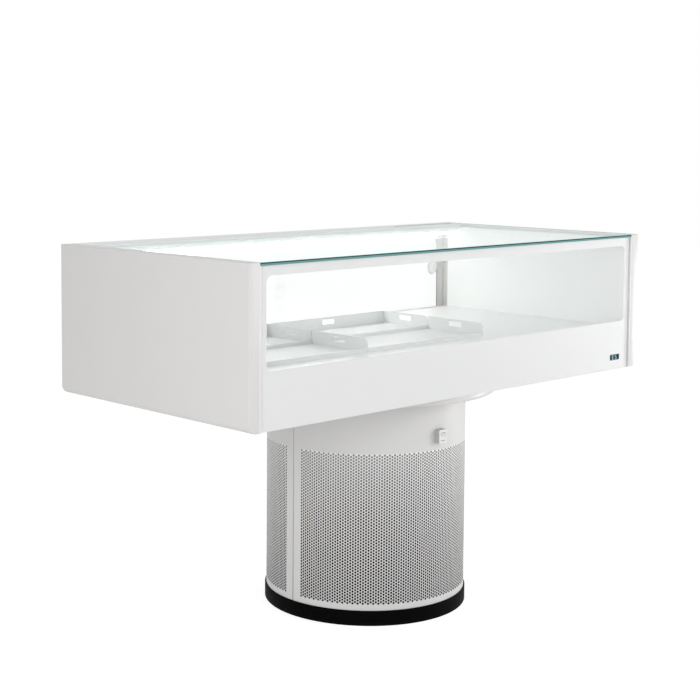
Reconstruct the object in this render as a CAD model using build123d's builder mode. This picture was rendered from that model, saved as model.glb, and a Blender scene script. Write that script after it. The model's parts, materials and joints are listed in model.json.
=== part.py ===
from build123d import *

import os
from math import asin, atan2, cos, degrees, pi, radians, sin, sqrt

# Refrigerated pastry display case: a long glass-topped box on a round perforated pedestal.
# Millimetres, +Z up, the customer's side faces -Y, origin on the floor at the pedestal's axis.

os.makedirs("parts", exist_ok=True)

# Display box
box_length = 1930.0
box_depth = 938.0
box_height = 495.0
box_base = 775.0
panel_thickness = 42.0
panel_bottom_radius = 28.0
panel_edge = 2.0
inner_wall_thickness = 32.0
inner_wall_end = 70.0
front_post_depth = 40.0

# Glass and its print
glass_thickness = 8.0
glass_side_gap = 2.5
glass_rear_gap = 2.5
glass_edge_chamfer = 0.8
seal_thickness = 2.0
seal_inset = 2.0
front_seal_width = 4.5
side_seal_width = 20.0
print_thickness = 1.0
window_side_border = 26.5
window_top_border = 31.0
window_bottom_height = 176.0
window_corner_radius = 24.0

# Insulated tub and deck
deck_height = 154.0
deck_thickness = 3.0
deck_side_gap = 0.5
deck_joint = 1.0
deck_column_count = 3
tub_skin = 2.0
tub_foam = 38.0
tub_sheet = 1.0
grille_strip_front = 55.0
grille_strip_rear = 40.0
grille_slot_length = 140.0
grille_slot_width = 10.0
grille_slot_pitch = 178.0
bearer_width = 20.0
bearer_height = 20.0
bearer_leg = 16.0

# Rear rail, lights and cover
rail_depth = 118.0
rail_height = 24.0
rail_wall = 2.5
light_wall = 2.0
light_sheet = 3.0
light_shelf = 13.0
light_depth = 24.0
light_height = 12.0
diffuser_inset = 1.0
light_joint = 2.0
light_corner_radius = 4.0
cover_length = 345.0
cover_depth = 60.0
cover_slot = 4.0
cover_gap = 0.5
cover_thickness = 2.0

# Sliding doors and their tracks
door_glass = 6.0
door_pitch = 12.0
door_inset = 16.0
door_side_gap = 4.0
door_overlap = 30.0
door_end_gap = 3.0
track_drop = 26.0
track_floor = 3.0
track_fin = 2.0
lower_fin_height = 12.0
upper_fin_height = 9.0
shoe_wall = 1.2
shoe_height = 18.0
shoe_floor = 3.7
shoe_clearance = 0.3
pull_radius = 25.0
pull_rim = 3.0
pull_lip = 1.0
pull_cup_radius = 20.0
pull_cup_depth = 5.5
pull_clearance = 0.2
pull_from_edge = 60.0

# Trays
tray_wall_gap = 10.0
tray_front_depth = 256.0
tray_rear_depth = 224.0
tray_height = 47.0
tray_sheet = 3.0
tray_gap = 2.0
tray_start = 182.0
tray_lip = 14.0
tray_corner_radius = 20.0
hand_hole_length = 60.0
hand_hole_height = 18.0
hand_hole_level = 30.0

# Controller behind the front print
controller_end = 124.0
controller_z = 44.0
controller_width = 76.0
controller_height = 34.0
controller_depth = 38.0
controller_gap = 0.2
lens_width = 58.0
lens_height = 21.0
lens_gap = 0.2

# Pedestal
plinth_overhang = 5.0
plinth_height = 51.0
plinth_wall = 14.0
shell_radius = 350.0
shell_sheet = 1.5
shell_seam = 2.5
shell_return = 12.0
base_plate_thickness = 5.0
base_plate_gap = 0.6
post_size = 40.0
post_wall = 2.5
post_clearance = 16.0
collar_setback = 13.0
collar_height = 23.0
collar_edge = 8.0

# Perforated field of the shells. The real sheet has 7 mm holes at 10 mm pitch: the solid has the
# same field and stagger, with fewer and larger holes, and one narrow flat for each column of them.
shell_flats = 14
field_bottom = 22.0
field_height = 504.0
field_rows = 6
field_hole = 56.0
field_hole_sides = 6
field_margin_flats = 1

# Filter mats that line the shells behind the holes
filter_thickness = 3.0
filter_gap = 0.5
filter_margin = 10.0

# Switch
switch_x = -10.0
switch_z = 626.0
switch_width = 40.0
switch_height = 47.0
switch_depth = 21.0
switch_radius = 4.0
switch_seat_gap = 0.2
rocker_radius = 14.2
rocker_width = 20.4
rocker_side_gap = 0.3
rocker_pivot_depth = 6.0
rocker_pocket_depth = 13.0
rocker_back = 4.0
rocker_crest = 9.0
rocker_valley = 5.0
rocker_tilt = 8.0
rocker_pin_radius = 2.0
rocker_pin_length = 2.0
pin_clearance = 0.05

# Condensing unit
condenser_post_gap = 15.0
condenser_depth = 60.0
condenser_height = 330.0
condenser_front = 205.0
condenser_fin_pitch = 24.0
condenser_fin = 10.0
condenser_core = 24.0
coil_plate = 2.0
condenser_stub_height = 4.0
shroud_sheet = 2.0
shroud_ring_depth = 40.0
fan_tip_radius = 138.0
fan_tip_gap = 7.0
fan_hub_radius = 36.0
fan_hub_depth = 28.0
fan_blade_count = 4
fan_root_chord = 46.0
fan_tip_chord = 74.0
fan_blade_thickness = 2.5
fan_pitch = 28.0
hub_sides = 12
fan_bore_sides = 24
shaft_sides = 12
fan_setback = 8.0
fan_shaft_radius = 6.0
strap_sheet = 3.0
strap_width = 36.0
strap_gap = 12.0
strap_hole_radius = 12.0
motor_radius = 46.0
motor_length = 76.0
motor_bore_depth = 30.0
motor_chamfer = 9.0
motor_sides = 24
fan_shaft_end_gap = 5.0
compressor_post_gap = 10.0
compressor_shell_gap = 104.5
compressor_radius = 84.0
compressor_height = 190.0
compressor_dome = 40.0
compressor_dome_steps = 4
compressor_sides = 24
compressor_foot = 200.0
compressor_foot_sheet = 4.0
compressor_stub_offset = 48.0
compressor_stub_height = 22.0
mount_radius = 14.0
mount_height = 20.0
mount_inset = 22.0
mount_sides = 12
drier_radius = 18.0
drier_length = 110.0
drier_taper = 9.0
drier_sides = 12
drier_lift = 40.0
liquid_x = 120.0
electric_width = 100.0
electric_depth = 140.0
electric_height = 204.0
electric_x = 232.0
electric_y = 10.0
electric_sheet = 2.0
line_bend = 28.0
line_sides = 6
bend_steps = 3
discharge_radius = 5.0
liquid_radius = 5.0
suction_radius = 8.0
discharge_level = 455.0
suction_level = 565.0
liquid_level = 635.0

# Passages from the pedestal into the tub
service_x = 250.0
service_y = 60.0
service_spacing = 24.0
service_width = 64.0
service_depth = 40.0
grommet_flange = 8.0
grommet_flange_thickness = 4.0
grommet_gap = 0.2
drain_x = -240.0
drain_y = 0.0
drain_radius = 11.0
drain_wall = 1.5
drain_sides = 8
drain_flange = 8.0
drain_flange_thickness = 2.0
drain_gap = 0.2
drain_end = 82.0
pan_size = 110.0
pan_height = 50.0
pan_sheet = 2.0

# Evaporator
evaporator_length = 800.0
evaporator_depth = 120.0
evaporator_height = 80.0
evaporator_right = 190.0
evaporator_front = 180.0
evaporator_fin_pitch = 48.0
evaporator_fin = 20.0
evaporator_core = 46.0
baffle_sheet = 2.0
baffle_overhang = 28.0
baffle_gap = 8.0
evaporator_fan_size = 80.0
evaporator_fan_depth = 26.0
evaporator_fan_spacing = 440.0
rotor_tip_radius = 34.0
rotor_tip_gap = 3.0
rotor_hub_radius = 13.0
rotor_hub_depth = 14.0
rotor_blade_count = 5
rotor_root_chord = 12.0
rotor_tip_chord = 22.0
rotor_blade_thickness = 1.5
rotor_pitch = 30.0
rotor_shaft_radius = 3.0
rotor_end_gap = 0.3
spider_width = 8.0
spider_depth = 4.0
spider_hub_radius = 14.0
spider_hub_depth = 9.0
liquid_entry_level = 34.0
suction_entry_level = 64.0
liquid_entry_depth = 45.0
suction_entry_depth = 85.0

# Cable gland in the plinth
gland_radius = 10.0
gland_level = 25.0
gland_hex = 14.0
gland_hex_length = 8.0
gland_nut_length = 14.0
gland_cap_radius = 11.5
gland_cap_sides = 12
gland_bore = 4.0
gland_inner_length = 12.0
gland_seat_gap = 0.3
gland_hole_gap = 0.2

# Places worked out from the sizes above
half_length = box_length / 2
front_y = -box_depth / 2
rear_y = box_depth / 2
box_top = box_base + box_height
panel_inner_x = half_length - panel_thickness
wall_inner_x = panel_inner_x - inner_wall_thickness
wall_rear_y = rear_y - inner_wall_end
controller_x = half_length - controller_end
tray_left_x = tray_wall_gap - wall_inner_x
tray_width = -2 * (tray_left_x + tray_gap) / deck_column_count
glass_half = panel_inner_x - glass_side_gap
glass_back_y = front_y + glass_thickness
tub_front_y = glass_back_y + print_thickness
top_glass_z = box_top - glass_thickness
glass_rest_z = top_glass_z - seal_thickness
deck_top = box_base + deck_height
tub_rim = deck_top - deck_thickness
tub_wall = tub_skin + tub_foam + tub_sheet
tub_floor = box_base + tub_wall
liner_front_y = tub_front_y + tub_wall
liner_rear_y = rear_y - tub_wall
rail_front_y = rear_y - rail_depth
rail_under = box_top - rail_height
light_front_y = rail_front_y - light_wall
top_glass_rear_y = rail_front_y - glass_rear_gap
outer_door_y = rear_y - door_inset
inner_door_y = outer_door_y - door_pitch
track_front_y = inner_door_y - door_pitch / 2 - track_fin / 2
track_rear_y = outer_door_y + door_pitch / 2 + track_fin / 2
track_z = tub_rim - track_drop
shoe_z = track_z + track_floor + shoe_clearance
door_glass_z = shoe_z + shoe_floor
door_glass_top = rail_under - track_floor - door_end_gap
door_half = panel_inner_x - door_side_gap
pull_z = (deck_top + rail_under) / 2
collar_radius = rear_y - collar_setback
shell_bottom = plinth_height
shell_top = box_base - collar_height
shell_inner = shell_radius - shell_sheet
field_top = shell_bottom + field_bottom + field_height
plinth_radius = shell_radius + plinth_overhang
base_top = plinth_height + base_plate_thickness
post_offset = (shell_inner - post_clearance) / sqrt(2) - post_size / 2
condenser_width = 2 * (post_offset - condenser_post_gap) - post_size
condenser_y = -condenser_front
condenser_rear_y = condenser_y + condenser_depth
shroud_y = condenser_rear_y + shroud_sheet
fan_z = base_top + condenser_height / 2
fan_y = shroud_y + fan_setback
strap_y = fan_y + fan_hub_depth + strap_gap
motor_y = strap_y + strap_sheet
compressor_x = compressor_foot / 2 + compressor_post_gap + post_size / 2 - post_offset
compressor_y = shell_inner - compressor_radius - compressor_shell_gap
compressor_base = base_top + mount_height
compressor_top = compressor_base + compressor_foot_sheet + compressor_height
condenser_top = base_top + condenser_height
evaporator_left = evaporator_right - evaporator_length
evaporator_rear = evaporator_front + evaporator_depth
baffle_y = evaporator_front - baffle_gap
rotor_z = tub_floor + evaporator_height / 2
switch_front_y = -shell_radius - switch_depth
rocker_y = switch_front_y + rocker_pivot_depth


def keep(builder, label):
    """Names a finished piece and writes it."""
    builder.part.label = label
    export_step(builder.part, f"parts/{label}.step")


def flat_panel(label, x_range, y_range, z_range, edge=0.0):
    """A flat sheet or board between three pairs of limits, with its long edges broken."""
    width, depth = x_range[1] - x_range[0], y_range[1] - y_range[0]
    with BuildPart() as panel:
        with BuildSketch(Plane.XY.offset(z_range[0])):
            with Locations(((x_range[0] + x_range[1]) / 2, (y_range[0] + y_range[1]) / 2)):
                Rectangle(width, depth)
        extrude(amount=z_range[1] - z_range[0])
        if edge:
            chamfer(panel.edges().filter_by(Axis.X), edge)
    keep(panel, label)


def tray_shape(x_low, y_low, depth, rear_wall):
    """One open tray: side walls with hand holes, a low front lip, and a high or low rear wall."""
    x_mid, y_mid = x_low + tray_width / 2, y_low + depth / 2
    with BuildPart() as tray:
        with BuildSketch(Plane.YZ.offset(x_low)):
            with Locations((y_mid, deck_top + tray_height / 2)):
                Rectangle(depth, tray_height)
        extrude(amount=tray_width)
        front_top = tray.edges().filter_by(Axis.X).group_by(Axis.Y)[0].sort_by(Axis.Z)[-1]
        fillet(front_top, tray_corner_radius)
        with BuildSketch(Plane.XY.offset(deck_top + tray_sheet)):
            with Locations((x_mid, y_mid)):
                Rectangle(tray_width - 2 * tray_sheet, depth - 2 * tray_sheet)
        extrude(amount=tray_height, mode=Mode.SUBTRACT)
        lowered = depth - tray_sheet if rear_wall else depth
        with BuildSketch(Plane.XY.offset(deck_top + tray_lip)):
            with Locations((x_mid, y_low + lowered / 2)):
                Rectangle(tray_width - 2 * tray_sheet, lowered)
        extrude(amount=tray_height, mode=Mode.SUBTRACT)
        with BuildSketch(Plane.YZ.offset(x_low)):
            with Locations((y_mid, deck_top + hand_hole_level)):
                Rectangle(hand_hole_length, hand_hole_height)
        extrude(amount=tray_width, mode=Mode.SUBTRACT)
        if rear_wall:
            with BuildSketch(Plane.XZ.offset(-y_low - depth)):
                with Locations((x_mid, deck_top + hand_hole_level)):
                    Rectangle(hand_hole_length, hand_hole_height)
            extrude(amount=2 * tray_sheet, mode=Mode.SUBTRACT)
    return tray


def pipe(points, radius):
    """A bent tube along straight runs that join in arcs, each arc as a few short chords."""
    with BuildLine() as smooth:
        FilletPolyline(*points, radius=line_bend)
    path, corners, done = smooth.wire(), [points[0]], 0.0
    for run in path.order_edges():
        steps = bend_steps if run.geom_type == GeomType.CIRCLE else 1
        for step in range(1, steps + 1):
            corners.append(path.position_at(done + run.length * step / steps, PositionMode.LENGTH))
        done += run.length
    with BuildPart() as tube:
        with BuildLine():
            Polyline(*corners)
        with BuildSketch(Plane(origin=points[0], z_dir=path % 0)):
            RegularPolygon(radius, line_sides)
        sweep(transition=Transition.RIGHT)
    return tube.part


def fan_blade(root, tip, root_chord, tip_chord, thickness, pitch):
    """One pitched blade along +X that widens from inside the hub out to the tip."""
    with BuildPart() as blade:
        with BuildSketch(Plane.XY.rotated((pitch, 0, 0))):
            with BuildLine():
                Polyline(
                    (root, -root_chord / 2),
                    (tip, -tip_chord / 2),
                    (tip, tip_chord / 2),
                    (root, root_chord / 2),
                    close=True,
                )
            make_face()
        extrude(amount=thickness / 2, both=True)
    return blade.part


def fin_block(label, x_range, y_range, z_range, pitch, fin, core, stubs):
    """A finned coil between two end plates: tall fins stand across a solid core."""
    length = x_range[1] - x_range[0]
    y_mid, z_mid = (y_range[0] + y_range[1]) / 2, (z_range[0] + z_range[1]) / 2
    depth, height = y_range[1] - y_range[0], z_range[1] - z_range[0]
    count = int((length - fin) // pitch)
    with BuildPart() as coil:
        with BuildSketch(Plane.YZ.offset(x_range[0])):
            with Locations((y_mid, z_mid)):
                Rectangle(core, height - 2 * coil_plate)
        extrude(amount=length)
        with BuildSketch(Plane.XY.offset(z_range[0] + coil_plate)):
            with Locations(((x_range[0] + x_range[1]) / 2, y_mid)):
                with GridLocations(pitch, depth, count, 1):
                    Rectangle(fin, depth - 2 * coil_plate)
        extrude(amount=height - 2 * coil_plate)
        with BuildSketch(Plane.YZ.offset(x_range[0])):
            with Locations((y_mid, z_mid)):
                Rectangle(depth, height)
        extrude(amount=coil_plate)
        with BuildSketch(Plane.YZ.offset(x_range[1] - coil_plate)):
            with Locations((y_mid, z_mid)):
                Rectangle(depth, height)
        extrude(amount=coil_plate)
        for centre, radius in stubs:
            with BuildSketch(Plane.XY.offset(z_range[1] - height / 2)):
                with Locations(centre):
                    RegularPolygon(radius, line_sides)
            extrude(amount=height / 2 + condenser_stub_height)
    keep(coil, label)


def pedestal_shell(label, side):
    """One half of the perforated drum; side is -1 for the front half and 1 for the rear half."""
    pitch = (field_height - field_hole) / (field_rows - 1)
    mid_z = field_top - field_height / 2
    with BuildPart() as shell:
        with BuildSketch(Plane.XY.offset(shell_bottom)):
            RegularPolygon(shell_radius, 2 * shell_flats)
            RegularPolygon(shell_inner, 2 * shell_flats, mode=Mode.SUBTRACT)
            with Locations((0, side * (shell_radius / 2 + shell_seam / 2))):
                Rectangle(2 * shell_radius, shell_radius, mode=Mode.INTERSECT)
        extrude(amount=shell_top - shell_bottom)
        with BuildSketch(Plane.XY.offset(base_top + base_plate_gap)):
            with Locations((0, side * (shell_seam + shell_sheet) / 2)):
                with GridLocations(2 * shell_inner - shell_return, 1, 2, 1):
                    Rectangle(shell_return, shell_sheet)
        extrude(amount=shell_top - base_top - base_plate_gap)
        for flat in range(field_margin_flats, shell_flats - field_margin_flats):
            angle = radians(side * (flat + 0.5) * 180 / shell_flats)
            outward = (cos(angle), sin(angle), 0)
            drill = Plane(origin=(0, 0, mid_z), x_dir=(-sin(angle), cos(angle), 0), z_dir=outward)
            with BuildSketch(drill.offset(shell_inner - shell_return)):
                with GridLocations(1, pitch, 1, field_rows - flat % 2):
                    RegularPolygon(field_hole / 2, field_hole_sides)
        extrude(amount=2 * shell_return, mode=Mode.SUBTRACT)
    keep(shell, label)


def pedestal_filter(label, side):
    """One half of the mat that lines the drum; side is as for the shell."""
    outer = shell_inner - filter_gap
    seam_half = shell_seam / 2 + shell_sheet + filter_gap
    with BuildPart() as mat:
        with BuildSketch(Plane.XY.offset(base_top)):
            RegularPolygon(outer, 2 * shell_flats)
            RegularPolygon(outer - filter_thickness, 2 * shell_flats, mode=Mode.SUBTRACT)
            with Locations((0, side * (shell_radius / 2 + seam_half))):
                Rectangle(2 * shell_radius, shell_radius, mode=Mode.INTERSECT)
        extrude(amount=field_top + filter_margin - base_top)
    keep(mat, label)


# Plinth, base plate, posts and collar of the pedestal
with BuildPart() as plinth_ring:
    with BuildSketch():
        Circle(plinth_radius)
        Circle(plinth_radius - plinth_wall, mode=Mode.SUBTRACT)
    extrude(amount=plinth_height)
    with BuildSketch(Plane.XZ.offset(-plinth_radius - plinth_wall)):
        with Locations((0, gland_level)):
            RegularPolygon(gland_radius + gland_hole_gap, gland_cap_sides)
    extrude(amount=3 * plinth_wall, mode=Mode.SUBTRACT)
keep(plinth_ring, "plinth_ring")

with BuildPart() as base_plate:
    with BuildSketch(Plane.XY.offset(plinth_height)):
        Circle(shell_inner * cos(pi / (2 * shell_flats)) - base_plate_gap)
    extrude(amount=base_plate_thickness)
keep(base_plate, "base_plate")

with BuildPart() as support_posts:
    with BuildSketch(Plane.XY.offset(base_top)):
        with GridLocations(2 * post_offset, 2 * post_offset, 2, 2):
            Rectangle(post_size, post_size)
            Rectangle(post_size - 2 * post_wall, post_size - 2 * post_wall, mode=Mode.SUBTRACT)
    extrude(amount=shell_top - base_top)
keep(support_posts, "support_posts")

with BuildPart() as collar_plate:
    with BuildSketch(Plane.XY.offset(shell_top)):
        Circle(collar_radius)
    extrude(amount=collar_height)
    chamfer(collar_plate.edges().filter_by(GeomType.CIRCLE).sort_by(Axis.Z)[0], collar_edge)
    with BuildSketch(Plane.XY.offset(shell_top)):
        with Locations((service_x, service_y)):
            Rectangle(service_width, service_depth)
        with Locations((drain_x, drain_y)):
            RegularPolygon(drain_radius + drain_gap, drain_sides)
    extrude(amount=collar_height, mode=Mode.SUBTRACT)
keep(collar_plate, "collar_plate")

pedestal_shell("front_shell", -1)
pedestal_shell("rear_shell", 1)
pedestal_filter("front_filter", -1)
pedestal_filter("rear_filter", 1)

# Cable gland at the rear of the plinth
with BuildPart() as cable_gland:
    with BuildSketch(Plane.XZ.offset(-plinth_radius - gland_seat_gap)):
        with Locations((0, gland_level)):
            RegularPolygon(gland_hex, 6)
    extrude(amount=-gland_hex_length)
    with BuildSketch(Plane.XZ.offset(-plinth_radius - gland_seat_gap - gland_hex_length)):
        with Locations((0, gland_level)):
            RegularPolygon(gland_cap_radius, gland_cap_sides)
    extrude(amount=-gland_nut_length)
    with BuildSketch(Plane.XZ.offset(-plinth_radius - gland_seat_gap)):
        with Locations((0, gland_level)):
            RegularPolygon(gland_radius, gland_cap_sides)
    extrude(amount=plinth_wall + gland_inner_length)
    with BuildSketch(Plane.XZ.offset(-plinth_radius - gland_seat_gap - gland_hex_length - gland_nut_length)):
        with Locations((0, gland_level)):
            RegularPolygon(gland_bore, gland_cap_sides)
    extrude(amount=plinth_wall + gland_inner_length + gland_hex_length + gland_nut_length,
            mode=Mode.SUBTRACT)
keep(cable_gland, "cable_gland")

# Switch box and its rocker on the front shell
with BuildPart() as switch_box:
    with BuildSketch(Plane.XZ.offset(-switch_front_y)):
        with Locations((switch_x, switch_z)):
            RectangleRounded(switch_width, switch_height, switch_radius)
    extrude(amount=-2 * switch_depth)
    with BuildSketch(Plane.XY.offset(switch_z - switch_height)):
        Circle(shell_radius + switch_seat_gap)
    extrude(amount=2 * switch_height, mode=Mode.SUBTRACT)
    with BuildSketch(Plane.XZ.offset(-switch_front_y)):
        with Locations((switch_x, switch_z)):
            Rectangle(rocker_width + 2 * rocker_side_gap, 2 * (rocker_radius + rocker_side_gap))
    extrude(amount=-rocker_pocket_depth, mode=Mode.SUBTRACT)
    with BuildSketch(Plane.YZ.offset(switch_x)):
        with Locations((rocker_y, switch_z)):
            RegularPolygon(rocker_pin_radius + pin_clearance, shaft_sides, major_radius=False)
    extrude(amount=rocker_width / 2 + rocker_pin_length + rocker_side_gap, both=True, mode=Mode.SUBTRACT)
keep(switch_box, "switch_box")

tilt = radians(rocker_tilt)
rocker_plane = Plane(
    origin=(switch_x, rocker_y, switch_z), x_dir=(0, -cos(tilt), -sin(tilt)), z_dir=(-1, 0, 0)
)
crest_half = sqrt(rocker_radius**2 - rocker_crest**2)
back_half = sqrt(rocker_radius**2 - rocker_back**2)
with BuildPart() as switch_rocker:
    with BuildSketch(rocker_plane):
        with BuildLine():
            Polyline((rocker_crest, -crest_half), (rocker_valley, 0), (rocker_crest, crest_half))
            ThreePointArc((rocker_crest, crest_half), (0, rocker_radius), (-rocker_back, back_half))
            Line((-rocker_back, back_half), (-rocker_back, -back_half))
            ThreePointArc((-rocker_back, -back_half), (0, -rocker_radius), (rocker_crest, -crest_half))
        make_face()
    extrude(amount=rocker_width / 2, both=True)
    with BuildSketch(rocker_plane):
        RegularPolygon(rocker_pin_radius, shaft_sides)
    extrude(amount=rocker_width / 2 + rocker_pin_length, both=True)
keep(switch_rocker, "switch_rocker")

# Condensing unit: coil, shroud with its motor strap, motor and fan
fin_block(
    "condenser_coil",
    (-condenser_width / 2, condenser_width / 2),
    (condenser_y, condenser_rear_y),
    (base_top, condenser_top),
    condenser_fin_pitch,
    condenser_fin,
    condenser_core,
    (
        ((compressor_x - compressor_stub_offset, (condenser_y + condenser_rear_y) / 2), discharge_radius),
        ((liquid_x, (condenser_y + condenser_rear_y) / 2), liquid_radius),
    ),
)

with BuildPart() as fan_shroud:
    with BuildSketch(Plane.XZ.offset(-condenser_rear_y)):
        with Locations((0, fan_z)):
            Rectangle(condenser_width, condenser_height)
            RegularPolygon(
                fan_tip_radius + fan_tip_gap, fan_bore_sides, major_radius=False, mode=Mode.SUBTRACT
            )
    extrude(amount=-shroud_sheet)
    with BuildSketch(Plane.XZ.offset(-shroud_y)):
        with Locations((0, fan_z)):
            RegularPolygon(fan_tip_radius + fan_tip_gap + shroud_sheet, fan_bore_sides, major_radius=False)
            RegularPolygon(
                fan_tip_radius + fan_tip_gap, fan_bore_sides, major_radius=False, mode=Mode.SUBTRACT
            )
    extrude(amount=-shroud_ring_depth)
    with BuildSketch(Plane.XY.offset(fan_z - strap_width / 2)):
        with Locations((0, (shroud_y + motor_y) / 2)):
            Rectangle(condenser_width, motor_y - shroud_y)
        with Locations((0, (shroud_y + strap_y) / 2)):
            Rectangle(condenser_width - 2 * strap_sheet, strap_y - shroud_y, mode=Mode.SUBTRACT)
    extrude(amount=strap_width)
    with BuildSketch(Plane.XZ.offset(-strap_y)):
        with Locations((0, fan_z)):
            RegularPolygon(strap_hole_radius, shaft_sides)
    extrude(amount=-strap_sheet, mode=Mode.SUBTRACT)
keep(fan_shroud, "fan_shroud")

with BuildPart() as fan_motor:
    with BuildSketch(Plane.XZ.offset(-motor_y)):
        with Locations((0, fan_z)):
            RegularPolygon(motor_radius, motor_sides)
    extrude(amount=-motor_length)
    chamfer(fan_motor.faces().sort_by(Axis.Y)[-1].edges(), motor_chamfer)
    with BuildSketch(Plane.XZ.offset(-motor_y)):
        with Locations((0, fan_z)):
            RegularPolygon(fan_shaft_radius + pin_clearance, shaft_sides, major_radius=False)
    extrude(amount=-motor_bore_depth, mode=Mode.SUBTRACT)
keep(fan_motor, "fan_motor")

condenser_blade = fan_blade(
    fan_hub_radius - fan_blade_thickness, fan_tip_radius, fan_root_chord, fan_tip_chord,
    fan_blade_thickness, fan_pitch,
)
fan_plane = Plane(origin=(0, fan_y, fan_z), x_dir=(1, 0, 0), z_dir=(0, 1, 0))
with BuildPart(fan_plane) as condenser_fan:
    with BuildSketch(fan_plane):
        RegularPolygon(fan_hub_radius, hub_sides)
    extrude(amount=fan_hub_depth)
    with BuildSketch(fan_plane):
        RegularPolygon(fan_shaft_radius, shaft_sides)
    extrude(amount=fan_hub_depth + strap_gap + strap_sheet + motor_bore_depth - fan_shaft_end_gap)
    with Locations((0, 0, fan_hub_depth / 2)):
        with PolarLocations(0, fan_blade_count):
            add(condenser_blade)
keep(condenser_fan, "condenser_fan")

# Compressor on its rubber mounts
with BuildPart() as compressor:
    with BuildSketch(Plane.XY.offset(compressor_base)):
        with Locations((compressor_x, compressor_y)):
            RectangleRounded(compressor_foot, compressor_foot, mount_inset)
    extrude(amount=compressor_foot_sheet)
    can_base = compressor_base + compressor_foot_sheet
    dome_radius = (compressor_radius**2 + compressor_dome**2) / (2 * compressor_dome)
    dome_turn = asin(compressor_radius / dome_radius)
    dome_turns = [dome_turn * (1 - step / compressor_dome_steps) for step in range(compressor_dome_steps)]
    can_rings = [(compressor_radius, can_base)]
    can_rings += [(dome_radius * sin(turn), compressor_top - dome_radius * (1 - cos(turn))) for turn in dome_turns]
    for (radius, level), (next_radius, next_level) in zip(can_rings, can_rings[1:]):
        inset = (radius - next_radius) * cos(pi / compressor_sides)
        with BuildSketch(Plane.XY.offset(level)):
            with Locations((compressor_x, compressor_y)):
                RegularPolygon(radius, compressor_sides)
        extrude(amount=next_level - level, taper=degrees(atan2(inset, next_level - level)))
    with BuildSketch(Plane.XY.offset(compressor_top - compressor_dome)):
        with Locations((compressor_x, compressor_y)):
            with GridLocations(2 * compressor_stub_offset, 1, 2, 1):
                RegularPolygon(suction_radius, line_sides)
    extrude(amount=compressor_dome + compressor_stub_height)
keep(compressor, "compressor")

with BuildPart() as compressor_mounts:
    with BuildSketch(Plane.XY.offset(base_top)):
        with Locations((compressor_x, compressor_y)):
            mount_spacing = compressor_foot - 2 * mount_inset
            with GridLocations(mount_spacing, mount_spacing, 2, 2):
                RegularPolygon(mount_radius, mount_sides)
    extrude(amount=mount_height)
keep(compressor_mounts, "compressor_mounts")

# Refrigerant lines
coil_mid_y = (condenser_y + condenser_rear_y) / 2
compressor_stub_top = compressor_top + compressor_stub_height
condenser_stub_top = condenser_top + condenser_stub_height
discharge_x = compressor_x - compressor_stub_offset
suction_x = compressor_x + compressor_stub_offset
drier_z = condenser_stub_top + drier_lift
liquid_up_x = service_x - service_spacing / 2
suction_up_x = service_x + service_spacing / 2
evaporator_end = evaporator_right + coil_plate
liquid_in = (evaporator_end, evaporator_front + liquid_entry_depth, tub_floor + liquid_entry_level)
suction_out = (evaporator_end, evaporator_front + suction_entry_depth, tub_floor + suction_entry_level)

with BuildPart() as discharge_line:
    add(pipe((
        (discharge_x, compressor_y, compressor_stub_top),
        (discharge_x, compressor_y, discharge_level),
        (discharge_x, coil_mid_y, discharge_level),
        (discharge_x, coil_mid_y, condenser_stub_top),
    ), discharge_radius))
keep(discharge_line, "discharge_line")

with BuildPart() as liquid_line:
    with BuildSketch(Plane.XY.offset(drier_z)):
        with Locations((liquid_x, coil_mid_y)):
            RegularPolygon(drier_radius, drier_sides)
    extrude(amount=drier_length)
    chamfer(liquid_line.faces().filter_by(Axis.Z).edges(), drier_taper)
    with BuildSketch(Plane.XY.offset(condenser_stub_top)):
        with Locations((liquid_x, coil_mid_y)):
            RegularPolygon(liquid_radius, line_sides)
    extrude(amount=drier_lift)
    add(pipe((
        (liquid_x, coil_mid_y, drier_z + drier_length),
        (liquid_x, coil_mid_y, liquid_level),
        (liquid_up_x, service_y, liquid_level),
        (liquid_up_x, service_y, liquid_in[2]),
        (liquid_up_x, liquid_in[1], liquid_in[2]),
        liquid_in,
    ), liquid_radius))
keep(liquid_line, "liquid_line")

with BuildPart() as suction_line:
    add(pipe((
        (suction_x, compressor_y, compressor_stub_top),
        (suction_x, compressor_y, suction_level),
        (suction_up_x, service_y, suction_level),
        (suction_up_x, service_y, suction_out[2]),
        (suction_up_x, suction_out[1], suction_out[2]),
        suction_out,
    ), suction_radius))
keep(suction_line, "suction_line")

# Electrical box, condensate tray and drain pipe
with BuildPart() as electrical_box:
    with BuildSketch(Plane.XY.offset(base_top)):
        with Locations((electric_x, electric_y)):
            Rectangle(electric_width, electric_depth)
    extrude(amount=electric_height)
    offset(amount=-electric_sheet, openings=electrical_box.faces().sort_by(Axis.Z)[0])
keep(electrical_box, "electrical_box")

with BuildPart() as condensate_tray:
    with BuildSketch(Plane.XY.offset(base_top)):
        with Locations((drain_x, drain_y)):
            Rectangle(pan_size, pan_size)
    extrude(amount=pan_height)
    offset(amount=-pan_sheet, openings=condensate_tray.faces().sort_by(Axis.Z)[-1])
keep(condensate_tray, "condensate_tray")

with BuildPart() as drain_pipe:
    with BuildSketch(Plane.XY.offset(drain_end)):
        with Locations((drain_x, drain_y)):
            RegularPolygon(drain_radius, drain_sides)
    extrude(amount=tub_floor - drain_end)
    with BuildSketch(Plane.XY.offset(tub_floor)):
        with Locations((drain_x, drain_y)):
            RegularPolygon(drain_radius + drain_flange, drain_sides)
    extrude(amount=drain_flange_thickness)
    with BuildSketch(Plane.XY.offset(drain_end)):
        with Locations((drain_x, drain_y)):
            RegularPolygon(drain_radius - drain_wall, drain_sides)
    extrude(amount=tub_floor + drain_flange_thickness - drain_end, mode=Mode.SUBTRACT)
keep(drain_pipe, "drain_pipe")

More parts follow.
